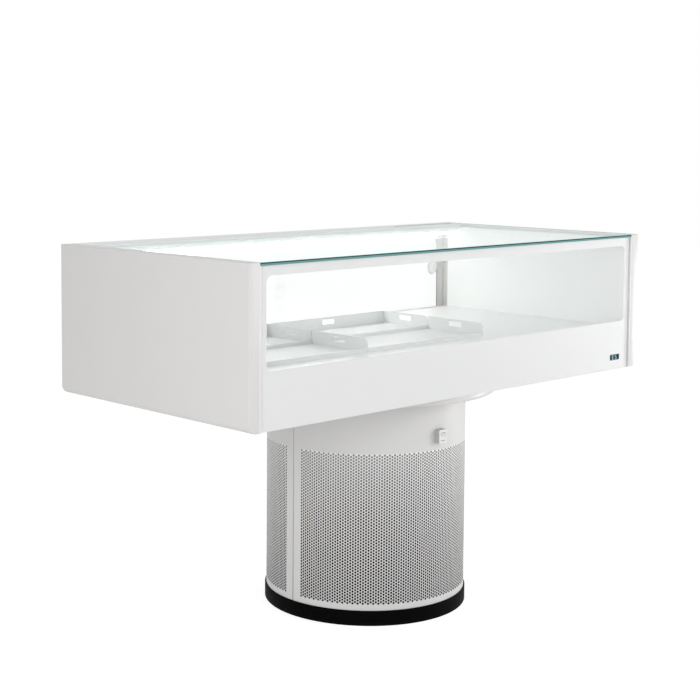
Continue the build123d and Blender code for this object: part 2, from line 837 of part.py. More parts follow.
# Insulated tub: outer skin, foam and liner are three open trays, one inside the other.
# All three share the lowered rear rim for the door track and the pipe and drain passages.
tub_layers = (
    ("tub_shell", 0.0, tub_skin),
    ("tub_insulation", tub_skin, tub_foam),
    ("tub_liner", tub_skin + tub_foam, tub_sheet),
)
tub_mid_y = (tub_front_y + rear_y) / 2
tub_span_y = rear_y - tub_front_y
for label, inset, thickness in tub_layers:
    with BuildPart() as layer:
        with BuildSketch(Plane.XY.offset(box_base + inset)):
            with Locations((0, tub_mid_y)):
                Rectangle(2 * (panel_inner_x - inset), tub_span_y - 2 * inset)
        extrude(amount=tub_rim - box_base - inset)
        with BuildSketch(Plane.XY.offset(box_base + inset + thickness)):
            with Locations((0, tub_mid_y)):
                Rectangle(2 * (panel_inner_x - inset - thickness), tub_span_y - 2 * (inset + thickness))
        extrude(amount=tub_rim, mode=Mode.SUBTRACT)
        with BuildSketch(Plane.XY.offset(track_z)):
            with Locations((0, (track_front_y + rear_y) / 2)):
                Rectangle(2 * panel_inner_x, rear_y - track_front_y)
        extrude(amount=track_drop, mode=Mode.SUBTRACT)
        with BuildSketch(Plane.XY.offset(box_base)):
            with Locations((service_x, service_y)):
                Rectangle(service_width, service_depth)
            with Locations((drain_x, drain_y)):
                RegularPolygon(drain_radius + drain_gap, drain_sides)
        extrude(amount=tub_wall, mode=Mode.SUBTRACT)
        if label != "tub_liner":
            with BuildSketch(Plane.XZ.offset(-tub_front_y)):
                with Locations((controller_x, box_base + controller_z)):
                    Rectangle(controller_width + 2 * controller_gap, controller_height + 2 * controller_gap)
            extrude(amount=-tub_skin - tub_foam, mode=Mode.SUBTRACT)
    keep(layer, label)

with BuildPart() as pipe_grommet:
    with BuildSketch(Plane.XY.offset(shell_top)):
        with Locations((service_x, service_y)):
            Rectangle(service_width - 2 * grommet_gap, service_depth - 2 * grommet_gap)
    extrude(amount=tub_floor - shell_top)
    with BuildSketch(Plane.XY.offset(tub_floor)):
        with Locations((service_x, service_y)):
            Rectangle(service_width + 2 * grommet_flange, service_depth + 2 * grommet_flange)
    extrude(amount=grommet_flange_thickness)
    with BuildSketch(Plane.XY.offset(shell_top)):
        with Locations((liquid_up_x, service_y)):
            RegularPolygon(liquid_radius + grommet_gap, hub_sides, major_radius=False)
        with Locations((suction_up_x, service_y)):
            RegularPolygon(suction_radius + grommet_gap, hub_sides, major_radius=False)
    extrude(amount=tub_floor + grommet_flange_thickness - shell_top, mode=Mode.SUBTRACT)
keep(pipe_grommet, "pipe_grommet")

# Evaporator: coil, baffle, fan frames and rotors
fin_block(
    "evaporator_coil",
    (evaporator_left - coil_plate, evaporator_end),
    (evaporator_front, evaporator_rear),
    (tub_floor, tub_floor + evaporator_height),
    evaporator_fin_pitch,
    evaporator_fin,
    evaporator_core,
    (),
)

rotor_mid_x = (evaporator_left + evaporator_right) / 2
rotor_places = (rotor_mid_x - evaporator_fan_spacing / 2, rotor_mid_x + evaporator_fan_spacing / 2)
with BuildPart() as evaporator_baffle:
    with BuildSketch(Plane.XZ.offset(-baffle_y)):
        with Locations((rotor_mid_x, tub_floor + evaporator_height / 2)):
            Rectangle(evaporator_length + 2 * baffle_overhang, evaporator_height)
        with Locations(*[(x, rotor_z) for x in rotor_places]):
            RegularPolygon(
                rotor_tip_radius + rotor_tip_gap, fan_bore_sides, major_radius=False, mode=Mode.SUBTRACT
            )
    extrude(amount=baffle_sheet)
keep(evaporator_baffle, "evaporator_baffle")

with BuildPart() as evaporator_fan_frames:
    for x in rotor_places:
        with BuildSketch(Plane.XZ.offset(-baffle_y + baffle_sheet)):
            with Locations((x, rotor_z)):
                Rectangle(evaporator_fan_size, evaporator_fan_size)
                RegularPolygon(
                    rotor_tip_radius + rotor_tip_gap, fan_bore_sides, major_radius=False, mode=Mode.SUBTRACT
                )
        extrude(amount=evaporator_fan_depth)
        with BuildSketch(Plane.XZ.offset(-baffle_y + baffle_sheet)):
            with Locations((x, rotor_z)):
                Rectangle(spider_width, evaporator_fan_size - rotor_tip_gap)
        extrude(amount=spider_depth)
        with BuildSketch(Plane.XZ.offset(-baffle_y + baffle_sheet)):
            with Locations((x, rotor_z)):
                RegularPolygon(spider_hub_radius, hub_sides)
        extrude(amount=spider_hub_depth)
        with BuildSketch(Plane.XZ.offset(-baffle_y + baffle_sheet)):
            with Locations((x, rotor_z)):
                RegularPolygon(rotor_shaft_radius + pin_clearance, shaft_sides, major_radius=False)
        extrude(amount=spider_hub_depth, mode=Mode.SUBTRACT)
keep(evaporator_fan_frames, "evaporator_fan_frames")

rotor_blade = fan_blade(
    rotor_hub_radius - rotor_blade_thickness, rotor_tip_radius, rotor_root_chord, rotor_tip_chord,
    rotor_blade_thickness, rotor_pitch,
)
rotor_y = baffle_y - baffle_sheet - spider_hub_depth - rotor_end_gap
for label, x in zip(("evaporator_rotor_left", "evaporator_rotor_right"), rotor_places):
    rotor_plane = Plane(origin=(x, rotor_y, rotor_z), x_dir=(1, 0, 0), z_dir=(0, -1, 0))
    with BuildPart(rotor_plane) as rotor:
        with BuildSketch(rotor_plane):
            RegularPolygon(rotor_hub_radius, hub_sides)
        extrude(amount=rotor_hub_depth)
        with BuildSketch(rotor_plane):
            RegularPolygon(rotor_shaft_radius, shaft_sides)
        extrude(amount=spider_hub_depth, both=True)
        with Locations((0, 0, rotor_hub_depth / 2)):
            with PolarLocations(0, rotor_blade_count):
                add(rotor_blade)
    keep(rotor, label)

# Deck: bearers, plates and air grilles
deck_half = wall_inner_x - deck_side_gap
grille_front_y = tub_front_y + deck_joint
deck_front_y = grille_front_y + grille_strip_front + deck_joint
deck_rear_y = track_front_y - grille_strip_rear - 2 * deck_joint
column_width = (2 * deck_half - (deck_column_count - 1) * deck_joint) / deck_column_count
with BuildPart() as deck_bearers:
    for column in range(1, deck_column_count):
        joint_x = -deck_half + column * (column_width + deck_joint) - deck_joint / 2
        with BuildSketch(Plane.YZ.offset(joint_x - bearer_width / 2)):
            with Locations(((liner_front_y + liner_rear_y) / 2, (tub_floor + tub_rim) / 2)):
                Rectangle(liner_rear_y - liner_front_y, tub_rim - tub_floor)
            with Locations(((liner_front_y + liner_rear_y) / 2, (tub_floor + tub_rim - bearer_height) / 2)):
                Rectangle(
                    liner_rear_y - liner_front_y - 2 * bearer_leg,
                    tub_rim - bearer_height - tub_floor,
                    mode=Mode.SUBTRACT,
                )
        extrude(amount=bearer_width)
keep(deck_bearers, "deck_bearers")

with BuildPart() as deck_plates:
    with BuildSketch(Plane.XY.offset(tub_rim)):
        with Locations((0, (deck_front_y + deck_rear_y) / 2)):
            with GridLocations(column_width + deck_joint, 1, deck_column_count, 1):
                Rectangle(column_width, deck_rear_y - deck_front_y)
    extrude(amount=deck_thickness)
keep(deck_plates, "deck_plates")

with BuildPart() as air_grilles:
    slot_count = int(2 * deck_half // grille_slot_pitch)
    strips = (
        (grille_front_y, grille_strip_front),
        (deck_rear_y + deck_joint, grille_strip_rear),
    )
    for y, depth in strips:
        with BuildSketch(Plane.XY.offset(tub_rim)):
            with Locations((0, y + depth / 2)):
                Rectangle(2 * deck_half, depth)
                with GridLocations(grille_slot_pitch, 1, slot_count, 1):
                    Rectangle(grille_slot_length, grille_slot_width, mode=Mode.SUBTRACT)
        extrude(amount=deck_thickness)
keep(air_grilles, "air_grilles")

# Side panels and the inner walls
for label, side in (("left_side_panel", -1), ("right_side_panel", 1)):
    with BuildPart() as panel:
        with BuildSketch(Plane.XZ.offset(-rear_y)) as outline:
            with Locations((side * (panel_inner_x + panel_thickness / 2), box_base + box_height / 2)):
                Rectangle(panel_thickness, box_height)
            outer_corner = outline.vertices().group_by(Axis.Y)[0].sort_by(Axis.X)[-1 if side > 0 else 0]
            fillet(outer_corner, panel_bottom_radius)
        extrude(amount=box_depth)
        chamfer(panel.faces().sort_by(Axis.Y)[0].edges() + panel.faces().sort_by(Axis.Y)[-1].edges(),
                panel_edge)
    keep(panel, label)

with BuildPart() as inner_walls:
    wall_front_y = tub_front_y + front_post_depth
    for x in (-panel_inner_x, wall_inner_x):
        with BuildSketch(Plane.YZ.offset(x)):
            with BuildLine():
                Polyline(
                    (wall_front_y, tub_rim),
                    (wall_rear_y, tub_rim),
                    (wall_rear_y, rail_under),
                    (light_front_y, rail_under),
                    (light_front_y, glass_rest_z),
                    (wall_front_y, glass_rest_z),
                    close=True,
                )
            make_face()
        extrude(amount=inner_wall_thickness)
keep(inner_walls, "inner_walls")

with BuildPart() as front_posts:
    post_width = glass_half - wall_inner_x
    with BuildSketch(Plane.XY.offset(tub_rim)):
        with Locations((0, tub_front_y + front_post_depth / 2)):
            with GridLocations(2 * wall_inner_x + post_width, 1, 2, 1):
                Rectangle(post_width, front_post_depth)
    extrude(amount=glass_rest_z - tub_rim)
keep(front_posts, "front_posts")

# Front glass, print and controller, top glass and seal
flat_panel("front_glass", (-glass_half, glass_half), (front_y, glass_back_y), (box_base, glass_rest_z),
           glass_edge_chamfer)
flat_panel("top_glass", (-glass_half, glass_half), (front_y, top_glass_rear_y), (top_glass_z, box_top),
           glass_edge_chamfer)

window_low = box_base + window_bottom_height
window_high = glass_rest_z - window_top_border
with BuildPart() as front_print:
    with BuildSketch(Plane.XZ.offset(-glass_back_y)):
        with Locations((0, (box_base + glass_rest_z) / 2)):
            Rectangle(2 * glass_half, glass_rest_z - box_base)
        with Locations((0, (window_low + window_high) / 2)):
            RectangleRounded(2 * (glass_half - window_side_border), window_high - window_low,
                             window_corner_radius, mode=Mode.SUBTRACT)
        with Locations((controller_x, box_base + controller_z)):
            Rectangle(lens_width, lens_height, mode=Mode.SUBTRACT)
    extrude(amount=-print_thickness)
keep(front_print, "front_print")

with BuildPart() as controller:
    with BuildSketch(Plane.XZ.offset(-tub_front_y)):
        with Locations((controller_x, box_base + controller_z)):
            Rectangle(controller_width, controller_height)
    extrude(amount=-controller_depth)
keep(controller, "controller")

with BuildPart() as controller_lens:
    with BuildSketch(Plane.XZ.offset(-glass_back_y)):
        with Locations((controller_x, box_base + controller_z)):
            Rectangle(lens_width - 2 * lens_gap, lens_height - 2 * lens_gap)
    extrude(amount=-print_thickness)
keep(controller_lens, "controller_lens")

with BuildPart() as glass_seal:
    seal_front_y = front_y + seal_inset
    seal_rear_y = light_front_y - seal_inset
    seal_inner_y = seal_front_y + front_seal_width
    seal_back_y = light_front_y - light_shelf
    with BuildSketch(Plane.XY.offset(glass_rest_z)):
        with Locations((0, (seal_front_y + seal_rear_y) / 2)):
            Rectangle(2 * (glass_half - seal_inset), seal_rear_y - seal_front_y)
        with Locations((0, (seal_inner_y + seal_back_y) / 2)):
            Rectangle(2 * (glass_half - seal_inset - side_seal_width), seal_back_y - seal_inner_y,
                      mode=Mode.SUBTRACT)
    extrude(amount=seal_thickness)
keep(glass_seal, "glass_seal")

# Rear rail with its cover, light profiles and diffusers
with BuildPart() as rear_rail:
    with BuildSketch(Plane.YZ.offset(-panel_inner_x)):
        with Locations(((rail_front_y + rear_y) / 2, (rail_under + box_top) / 2)):
            Rectangle(rail_depth, rail_height)
            Rectangle(rail_depth - 2 * rail_wall, rail_height - 2 * (rail_wall + cover_thickness),
                      mode=Mode.SUBTRACT)
    extrude(amount=2 * panel_inner_x)
    cover_y = rail_front_y + rail_wall
    with BuildSketch(Plane.XY.offset(box_top - cover_thickness)):
        with Locations((panel_inner_x - cover_length / 2, cover_y + (cover_depth + cover_slot) / 2)):
            Rectangle(cover_length, cover_depth + cover_slot)
    extrude(amount=cover_thickness, mode=Mode.SUBTRACT)
keep(rear_rail, "rear_rail")

flat_panel(
    "driver_cover",
    (panel_inner_x - cover_length + cover_gap, panel_inner_x - cover_gap),
    (cover_y + cover_gap, cover_y + cover_depth),
    (box_top - cover_thickness, box_top),
)

light_ends = (
    (-wall_inner_x + deck_side_gap, -light_joint / 2),
    (light_joint / 2, wall_inner_x - deck_side_gap),
)
light_under = rail_under - light_sheet
with BuildPart() as light_profiles:
    for low, high in light_ends:
        with BuildSketch(Plane.YZ.offset(low)):
            with BuildLine():
                Polyline(
                    (light_front_y - light_shelf, glass_rest_z),
                    (rail_front_y, glass_rest_z),
                    (rail_front_y, rail_under),
                    (light_front_y + light_depth, rail_under),
                    (light_front_y + light_depth, light_under),
                    (light_front_y, light_under),
                    (light_front_y, glass_rest_z - light_sheet),
                    (light_front_y - light_shelf, glass_rest_z - light_sheet),
                    close=True,
                )
            make_face()
        extrude(amount=high - low)
keep(light_profiles, "light_profiles")

with BuildPart() as light_diffusers:
    for low, high in light_ends:
        with BuildSketch(Plane.YZ.offset(low)) as bar:
            with Locations((light_front_y + light_depth / 2, light_under - light_height / 2)):
                Rectangle(light_depth - 2 * diffuser_inset, light_height)
            fillet(bar.vertices().group_by(Axis.Y)[0], light_corner_radius)
        extrude(amount=high - low)
keep(light_diffusers, "light_diffusers")

# Door tracks: a floor with three fins each, the upper one turned over
track_fins = [inner_door_y + door_pitch * (n - 0.5) for n in range(3)]
for label, floor_z, fin_z, fin_height in (
    ("lower_door_track", track_z, track_z + track_floor, lower_fin_height),
    ("upper_door_track", rail_under - track_floor, rail_under - track_floor - upper_fin_height,
     upper_fin_height),
):
    with BuildPart() as track:
        with BuildSketch(Plane.YZ.offset(-panel_inner_x)):
            with Locations(((track_front_y + track_rear_y) / 2, floor_z + track_floor / 2)):
                Rectangle(track_rear_y - track_front_y, track_floor)
            with Locations(*[(y, fin_z + fin_height / 2) for y in track_fins]):
                Rectangle(track_fin, fin_height)
        extrude(amount=2 * panel_inner_x)
    keep(track, label)

# Sliding doors: the left leaf runs in the inner channel and the right leaf in the outer one
for side_name, side, leaf_y in (("left", -1, inner_door_y), ("right", 1, outer_door_y)):
    leaf_ends = sorted((side * door_half, -side * door_overlap / 2))
    leaf_mid, leaf_width = sum(leaf_ends) / 2, leaf_ends[1] - leaf_ends[0]
    pull_x = side * (door_half - pull_from_edge)
    with BuildPart() as leaf_glass:
        with BuildSketch(Plane.XZ.offset(-leaf_y - door_glass / 2)):
            with Locations((leaf_mid, (door_glass_z + door_glass_top) / 2)):
                Rectangle(leaf_width, door_glass_top - door_glass_z)
            with Locations((pull_x, pull_z)):
                Circle(pull_radius, mode=Mode.SUBTRACT)
        extrude(amount=door_glass)
    keep(leaf_glass, f"{side_name}_door_glass")
    with BuildPart() as leaf_fittings:
        with BuildSketch(Plane.YZ.offset(leaf_ends[0])):
            with Locations((leaf_y, shoe_z + shoe_height / 2)):
                Rectangle(door_glass + 2 * shoe_wall, shoe_height)
            with Locations((leaf_y, door_glass_z + shoe_height / 2)):
                Rectangle(door_glass, shoe_height, mode=Mode.SUBTRACT)
        extrude(amount=leaf_width)
        with BuildSketch(Plane.XZ.offset(-leaf_y - door_glass / 2)):
            with Locations((pull_x, pull_z)):
                Circle(pull_radius - pull_clearance)
        extrude(amount=door_glass)
        with BuildSketch(Plane.XZ.offset(-leaf_y - door_glass / 2 - pull_lip)):
            with Locations((pull_x, pull_z)):
                Circle(pull_radius + pull_rim)
        extrude(amount=pull_lip)
        with BuildSketch(Plane.XZ.offset(-leaf_y - door_glass / 2 - pull_lip)):
            with Locations((pull_x, pull_z)):
                Circle(pull_cup_radius)
        extrude(amount=pull_cup_depth, mode=Mode.SUBTRACT)
    keep(leaf_fittings, f"{side_name}_door_fittings")

# Trays: two columns, a front and a rear tray in each
tray_front_y = front_y + tray_start
tray_rear_y = tray_front_y + tray_front_depth + tray_gap
for column_name, x_low in (("left", tray_left_x), ("centre", -tray_width / 2)):
    keep(tray_shape(x_low, tray_front_y, tray_front_depth, False), f"front_{column_name}_tray")
    keep(tray_shape(x_low, tray_rear_y, tray_rear_depth, True), f"rear_{column_name}_tray")
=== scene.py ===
import json
import math

import bpy
from mathutils import Matrix, Vector


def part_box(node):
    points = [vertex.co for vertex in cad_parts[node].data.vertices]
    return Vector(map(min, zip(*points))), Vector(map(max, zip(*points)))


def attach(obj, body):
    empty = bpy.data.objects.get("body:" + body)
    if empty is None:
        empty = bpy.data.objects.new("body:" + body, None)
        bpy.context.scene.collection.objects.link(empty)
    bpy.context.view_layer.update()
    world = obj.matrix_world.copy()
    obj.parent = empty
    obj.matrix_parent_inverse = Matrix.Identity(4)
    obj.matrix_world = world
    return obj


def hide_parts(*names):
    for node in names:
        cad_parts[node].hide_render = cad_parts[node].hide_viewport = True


bl_info = {
    "name": "Chilled display case",
    "version": (1, 0, 0),
    "blender": (4, 5, 0),
    "location": "3D View > Sidebar > Display case",
    "description": "Finishes and fine pieces for a chilled display case on a round perforated pedestal",
    "category": "Object",
}

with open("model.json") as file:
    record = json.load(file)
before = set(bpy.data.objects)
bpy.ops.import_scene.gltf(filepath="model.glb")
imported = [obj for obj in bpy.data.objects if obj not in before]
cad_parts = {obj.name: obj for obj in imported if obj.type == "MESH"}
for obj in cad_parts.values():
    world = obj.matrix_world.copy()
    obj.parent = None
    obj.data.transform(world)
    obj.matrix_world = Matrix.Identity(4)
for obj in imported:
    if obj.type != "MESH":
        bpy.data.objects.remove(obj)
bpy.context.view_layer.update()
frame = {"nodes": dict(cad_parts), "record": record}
NODES = frame["nodes"]

NEAR = 0.0001                           # a point this close to a place counts as there
WELD = 0.00002                          # points this close become one
ROUND = 256                             # corners of a round piece
STAGGER = math.sin(math.radians(60.0))  # from one column of holes to the next, in pitches
SHARP = math.radians(40.0)              # edges that turn further than this are eased
SMOOTH = math.radians(32.0)             # faces that turn less than this are shaded as one
WHITE = (1.0, 1.0, 1.0)


def length(name, description, default):
    """A size in metres for the sidebar."""
    return bpy.props.FloatProperty(name=name, description=description, default=default, unit="LENGTH", precision=4)


def colour(name, description, default):
    """A colour for the sidebar."""
    return bpy.props.FloatVectorProperty(name=name, description=description, default=default, subtype="COLOR",
                                         min=0.0, max=1.0)


class CaseSizes(bpy.types.PropertyGroup):
    """Sizes of the fine pieces."""
    hole: length("Hole", "Across one hole of the pedestal's sheet", 0.0077)
    pitch: length("Hole pitch", "From one hole to the next in a column", 0.010)
    sheet: length("Sheet", "Thickness of the pedestal's sheet", 0.0015)
    seam: length("Seam", "Gap between the front and the rear shell", 0.0025)
    seam_return: length("Seam return", "How far the sheet turns in at the seam", 0.012)
    field_start: length("First row", "Height of the lowest row of holes", 0.075)
    field_rows: bpy.props.IntProperty(name="Rows", description="Holes in a long column", default=51)
    field_columns: bpy.props.IntProperty(name="Columns", description="Columns of holes on one shell", default=119)
    collar_round: length("Collar rounding", "Radius along the collar's lower edge", 0.009)
    collar_edge: length("Collar edge", "Radius along the collar's upper edge", 0.001)
    panel_round: length("Panel rounding", "Radius along a side panel's lower outer edge", 0.028)
    board_edge: length("Board edge", "Radius along the other edges of the boards", 0.002)
    plinth_edge: length("Plinth edge", "Radius along the plinth's outer edges", 0.002)
    plinth_wall: length("Plinth wall", "Thickness of the plinth's ring", 0.014)
    bead_recess: length("Bead recess", "How far the corner beads lie behind the face of the glass", 0.0003)
    digit_height: length("Digit height", "Height of the display's digits", 0.0145)


class CaseColours(bpy.types.PropertyGroup):
    """Colours of the finishes."""
    laminate: colour("Laminate", "White board of the side panels", (0.69, 0.682, 0.674))
    coat: colour("Coat", "White powder coat of the sheet metal", (0.82, 0.815, 0.81))
    drum: colour("Drum", "White powder coat of the perforated sheet", (0.70, 0.695, 0.69))
    # Painted light: the sheet between the upper holes is painted paler than the drum's coat.
    painted_light_webs: colour("Webs", "The same coat between the upper holes", (0.92, 0.915, 0.91))
    inside: colour("Inside", "White of the display space", (0.93, 0.94, 0.935))
    rail: colour("Rail", "White coat of the rear rail and the light profiles", (0.94, 0.955, 0.948))
    # Also the painted shadow line on the rail's cover, along the slot.
    slot: colour("Slot", "Dark slot behind the rail's cover", (0.01, 0.011, 0.011))
    printed: colour("Print", "White enamel behind the glass", (0.80, 0.797, 0.797))
    tray: colour("Tray", "White of the trays", (0.82, 0.83, 0.83))
    plinth: colour("Plinth", "Black of the plinth", (0.002, 0.002, 0.002))
    clear_glass: colour("Clear glass", "Tint of the upright panes", (0.993, 0.995, 0.995))
    top_glass: colour("Top glass", "Tint of the top glass", (0.978, 1.0, 0.994))
    glass_edge: colour("Glass edge", "Green of the top glass's front edge", (0.13, 0.34, 0.33))
    deep_edge: colour("Deep edge", "The same edge where it is darkest", (0.002, 0.06, 0.06))
    # Painted highlight: the glint along the top glass's upper front arris.
    painted_edge_glint: colour("Bright edge", "The same edge along its upper arris", (0.50, 0.82, 0.80))
    pale_edge: colour("Pale edge", "Ground edges of the other panes", (0.84, 0.90, 0.89))
    silicone: colour("Silicone", "White beads at the ends of the front glass", (0.92, 0.92, 0.915))
    bedding: colour("Bedding", "Silicone under the top glass", (0.80, 0.83, 0.82))
    rocker: colour("Rocker", "Pale grey of the switch's rocker", (0.74, 0.74, 0.74))
    switch_front: colour("Switch front", "Front of the switch's housing", (0.78, 0.78, 0.78))
    # Painted shade on the sides of the switch's housing.
    switch_side_shade: colour("Switch side", "Sides of the switch's housing", (0.46, 0.455, 0.45))
    lens: colour("Lens", "Smoked window of the display", (0.001, 0.008, 0.014))
    digits: colour("Digits", "Lit digits of the display", (0.30, 0.75, 0.88))
    glow: colour("Light", "Light of the diffusers", (1.0, 0.99, 0.97))
    grey: colour("Grey plastic", "Cooling fan, condensate tray and drain", (0.26, 0.27, 0.28))
    enamel: colour("Enamel", "Black of the compressor and the cooling fan's housing", (0.012, 0.012, 0.012))
    rubber: colour("Rubber", "Black of the mounts and the grommet", (0.015, 0.015, 0.015))
    steel: colour("Steel", "Brushed steel of the tub's liner", (0.66, 0.67, 0.68))
    aluminium: colour("Aluminium", "Plain aluminium under the deck", (0.74, 0.75, 0.76))


def sizes():
    """The sizes as they are set now."""
    return bpy.context.scene.case_sizes


def colours():
    """The colours as they are set now."""
    return bpy.context.scene.case_colours


# Materials

class Value:
    """A socket of a material, on which sums are written as plain expressions."""

    def __init__(self, look, socket):
        self.look = look
        self.socket = socket

    def sum(self, operation, *values):
        """Adds the node of one sum."""
        return self.look.node("ShaderNodeMath", {"operation": operation}, dict(enumerate(values)))

    def __add__(self, other):
        return self.sum("ADD", self, other)

    def __radd__(self, other):
        return self.sum("ADD", other, self)

    def __sub__(self, other):
        return self.sum("SUBTRACT", self, other)

    def __rsub__(self, other):
        return self.sum("SUBTRACT", other, self)

    def __mul__(self, other):
        return self.sum("MULTIPLY", self, other)

    def __rmul__(self, other):
        return self.sum("MULTIPLY", other, self)

    def __gt__(self, other):
        return self.sum("GREATER_THAN", self, other)

    def __pow__(self, other):
        return self.sum("POWER", self, other)

    def __abs__(self):
        return self.sum("ABSOLUTE", self)

    def at_least(self, other):
        """The larger of the two."""
        return self.sum("MAXIMUM", self, other)


class Look:
    """One material of the case, or the world, and its nodes."""

    def __init__(self, name, kind="Material"):
        self.kind = kind
        self.made = (bpy.data.worlds if kind == "World" else bpy.data.materials).new(name)
        self.made.use_nodes = True
        self.tree = self.made.node_tree
        self.tree.nodes.clear()

    def node(self, kind, settings=None, sockets=None, output=0):
        """Adds a node: its settings first, then its sockets' values or links. Returns one of its outputs."""
        node = self.tree.nodes.new(kind)
        for key, value in (settings or {}).items():
            if key == "stops":
                ramp = node.color_ramp
                while len(ramp.elements) < len(value):
                    ramp.elements.new(0.5)
                for element, (position, tone) in zip(ramp.elements, value):
                    element.position = position
                    element.color = (*tone, 1.0)
            else:
                setattr(node, key, value)
        for key, value in (sockets or {}).items():
            socket = node.inputs[key]
            if isinstance(value, Value):
                self.tree.links.new(value.socket, socket)
            elif socket.type == "RGBA" and len(value) == 3:
                socket.default_value = (*value, 1.0)
            else:
                socket.default_value = value
        return Value(self, node.outputs[output]) if node.outputs else None

    def place(self, scale=(1.0, 1.0, 1.0)):
        """Object coordinates, stretched by a scale."""
        where = self.node("ShaderNodeTexCoord", output="Object")
        return self.node("ShaderNodeMapping", None, {"Vector": where, "Scale": scale})

    def axis(self, name):
        """One coordinate of the object, in metres."""
        where = self.node("ShaderNodeTexCoord", output="Object")
        return self.node("ShaderNodeSeparateXYZ", None, {0: where}, output=name)

    def towards(self, name):
        """How far the surface faces along one axis."""
        normal = self.node("ShaderNodeTexCoord", output="Normal")
        return self.node("ShaderNodeSeparateXYZ", None, {0: normal}, output=name)

    def noise(self, scale, detail=3.0, stretch=(1.0, 1.0, 1.0)):
        """Soft noise, as fine as its scale per metre."""
        return self.node("ShaderNodeTexNoise", None,
                         {"Vector": self.place(stretch), "Scale": scale, "Detail": detail}, output="Fac")

    def cells(self, scale):
        """Small cells, each rising from 0 at its middle."""
        return self.node("ShaderNodeTexVoronoi", None, {"Vector": self.place(), "Scale": scale}, output="Distance")

    def ramp(self, value, *stops):
        """A colour that a value picks between stops."""
        return self.node("ShaderNodeValToRGB", {"stops": stops}, {"Fac": value})

    def blend(self, factor, first, second):
        """The first colour where a factor is 0, the second where it is 1."""
        return self.node("ShaderNodeMix", {"data_type": "RGBA"}, {0: factor, 6: first, 7: second}, output=2)

    def shaded(self, factor, tone, share):
        """A colour that goes down to a share of itself where a factor is 0."""
        return self.blend(factor, darker(tone, share), tone)

    def bump(self, height, strength):
        """A normal for relief of up to a millimetre."""
        return self.node("ShaderNodeBump", None, {"Height": height, "Strength": strength, "Distance": 0.001})

    def surface(self, sockets):
        """A plain surface."""
        return self.node("ShaderNodeBsdfPrincipled", None, sockets)

    def mixed(self, factor, first, second):
        """The first surface where a factor is 0, the second where it is 1."""
        return self.node("ShaderNodeMixShader", None, {0: factor, 1: first, 2: second})

    def seen(self):
        """1 for what the camera sees, straight, in a shine or through glass."""
        straight, shine, through = (self.node("ShaderNodeLightPath", output=f"Is {ray} Ray")
                                    for ray in ("Camera", "Glossy", "Transmission"))
        return straight.at_least(shine).at_least(through)

    def done(self, shader):
        """Closes the material with its output and returns it."""
        self.node(f"ShaderNodeOutput{self.kind}", None, {"Surface": shader})
        return self.made


def darker(tone, share):
    """A share of a colour."""
    return tuple(channel * share for channel in tone)


def even_grey(level):
    """A grey with no tint."""
    return (level, level, level)


def cloudy(look, tone, patchy):
    """A coat's colour, with faint clouds down to a share of it."""
    return look.shaded(look.noise(6.0, 2.0), tone, patchy)


def coat(look, base, roughness, grain, depth):
    """Closes the material of a coat: its shine a little uneven, with a fine grain."""
    uneven = 0.12
    return look.done(look.surface({
        "Base Color": base,
        "Roughness": roughness - uneven / 2 + uneven * look.noise(38.0),
        "Normal": look.bump(look.noise(grain, 2.0), depth),
    }))


def coated(name, tone, roughness, grain, depth, patchy=0.965):
    """Paint, laminate or moulded plastic."""
    look = Look(name)
    return coat(look, cloudy(look, tone, patchy), roughness, grain, depth)


def rail_coat(name, tone, slot_and_shadow_tone):
    """The coat of the rear rail and its cover: dark in the slot behind the cover, and a painted shadow line on the
    cover along the slot.
    """
    low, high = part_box("driver_cover")
    # The slot is dark; the wider strip on the cover beside it is a painted shadow line.
    painted_shadow_width, slot, deep, past_end = 0.0105, 0.0045, 0.004, 0.001
    middle, half = high.y + (slot - painted_shadow_width) / 2, (painted_shadow_width + slot) / 2
    look = Look(name)
    across = half - abs(look.axis("Y") - middle) > 0.0
    dark = across * (look.axis("Z") > high.z - deep) * (look.axis("X") > low.x - past_end)
    return coat(look, look.blend(dark, cloudy(look, tone, 0.98), slot_and_shadow_tone), roughness=0.40, grain=1300.0, depth=0.04)


def brushed(name, tone, roughness, stretch):
    """Bare metal with fine lines along one way."""
    look = Look(name)
    lines = look.noise(60.0, 4.0, stretch)
    return look.done(look.surface({
        "Base Color": look.shaded(lines, tone, 0.82),
        "Roughness": roughness + 0.15 * lines,
        "Metallic": 1.0,
        "Normal": look.bump(lines, 0.12),
    }))


def sheet_coat(name, tone, painted_light_web_tone):
    """Powder coat of the rolled sheet, with painted light and shade: paler between the upper holes, darkening towards
    the bottom of the field and on the hole walls, and a near-black painted shade on its inside.
    """
    size = sizes()
    radius = -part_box("front_shell")[0].y
    half_arc = size.field_columns * size.pitch * STAGGER / 2
    margin = radius * math.cos(half_arc / radius)
    foot = size.field_start - size.hole / 2
    rise = (size.field_rows - 1) * size.pitch + size.hole
    # The near-black of the inside face is painted shade.
    painted_inside_shade, edge_on = even_grey(0.012), 0.15
    look = Look(name)
    normal = look.node("ShaderNodeTexCoord", output="Normal")
    outwards = look.node("ShaderNodeVectorMath", {"operation": "DOT_PRODUCT"},
                         {0: look.place((1.0, 1.0, 0.0)), 1: normal}, output="Value")
    height = (look.axis("Z") - foot) * (1.0 / rise)
    field = (0.5 - abs(height - 0.5) > 0.0) * (abs(look.axis("Y")) > margin)
    # Painted light: between the holes the sheet is paler than the coat, with painted shade darkening it towards the
    # bottom.
    outside = look.blend(field, cloudy(look, tone, 0.965), look.shaded(height, painted_light_web_tone, 0.70))
    # Painted shade: near-black on the inside face, and hole walls that darken towards the bottom.
    inside = look.blend(outwards > -edge_on, painted_inside_shade, look.shaded(height, tone, 0.3))
    return coat(look, look.blend(outwards > edge_on, inside, outside), roughness=0.44, grain=1500.0, depth=0.05)


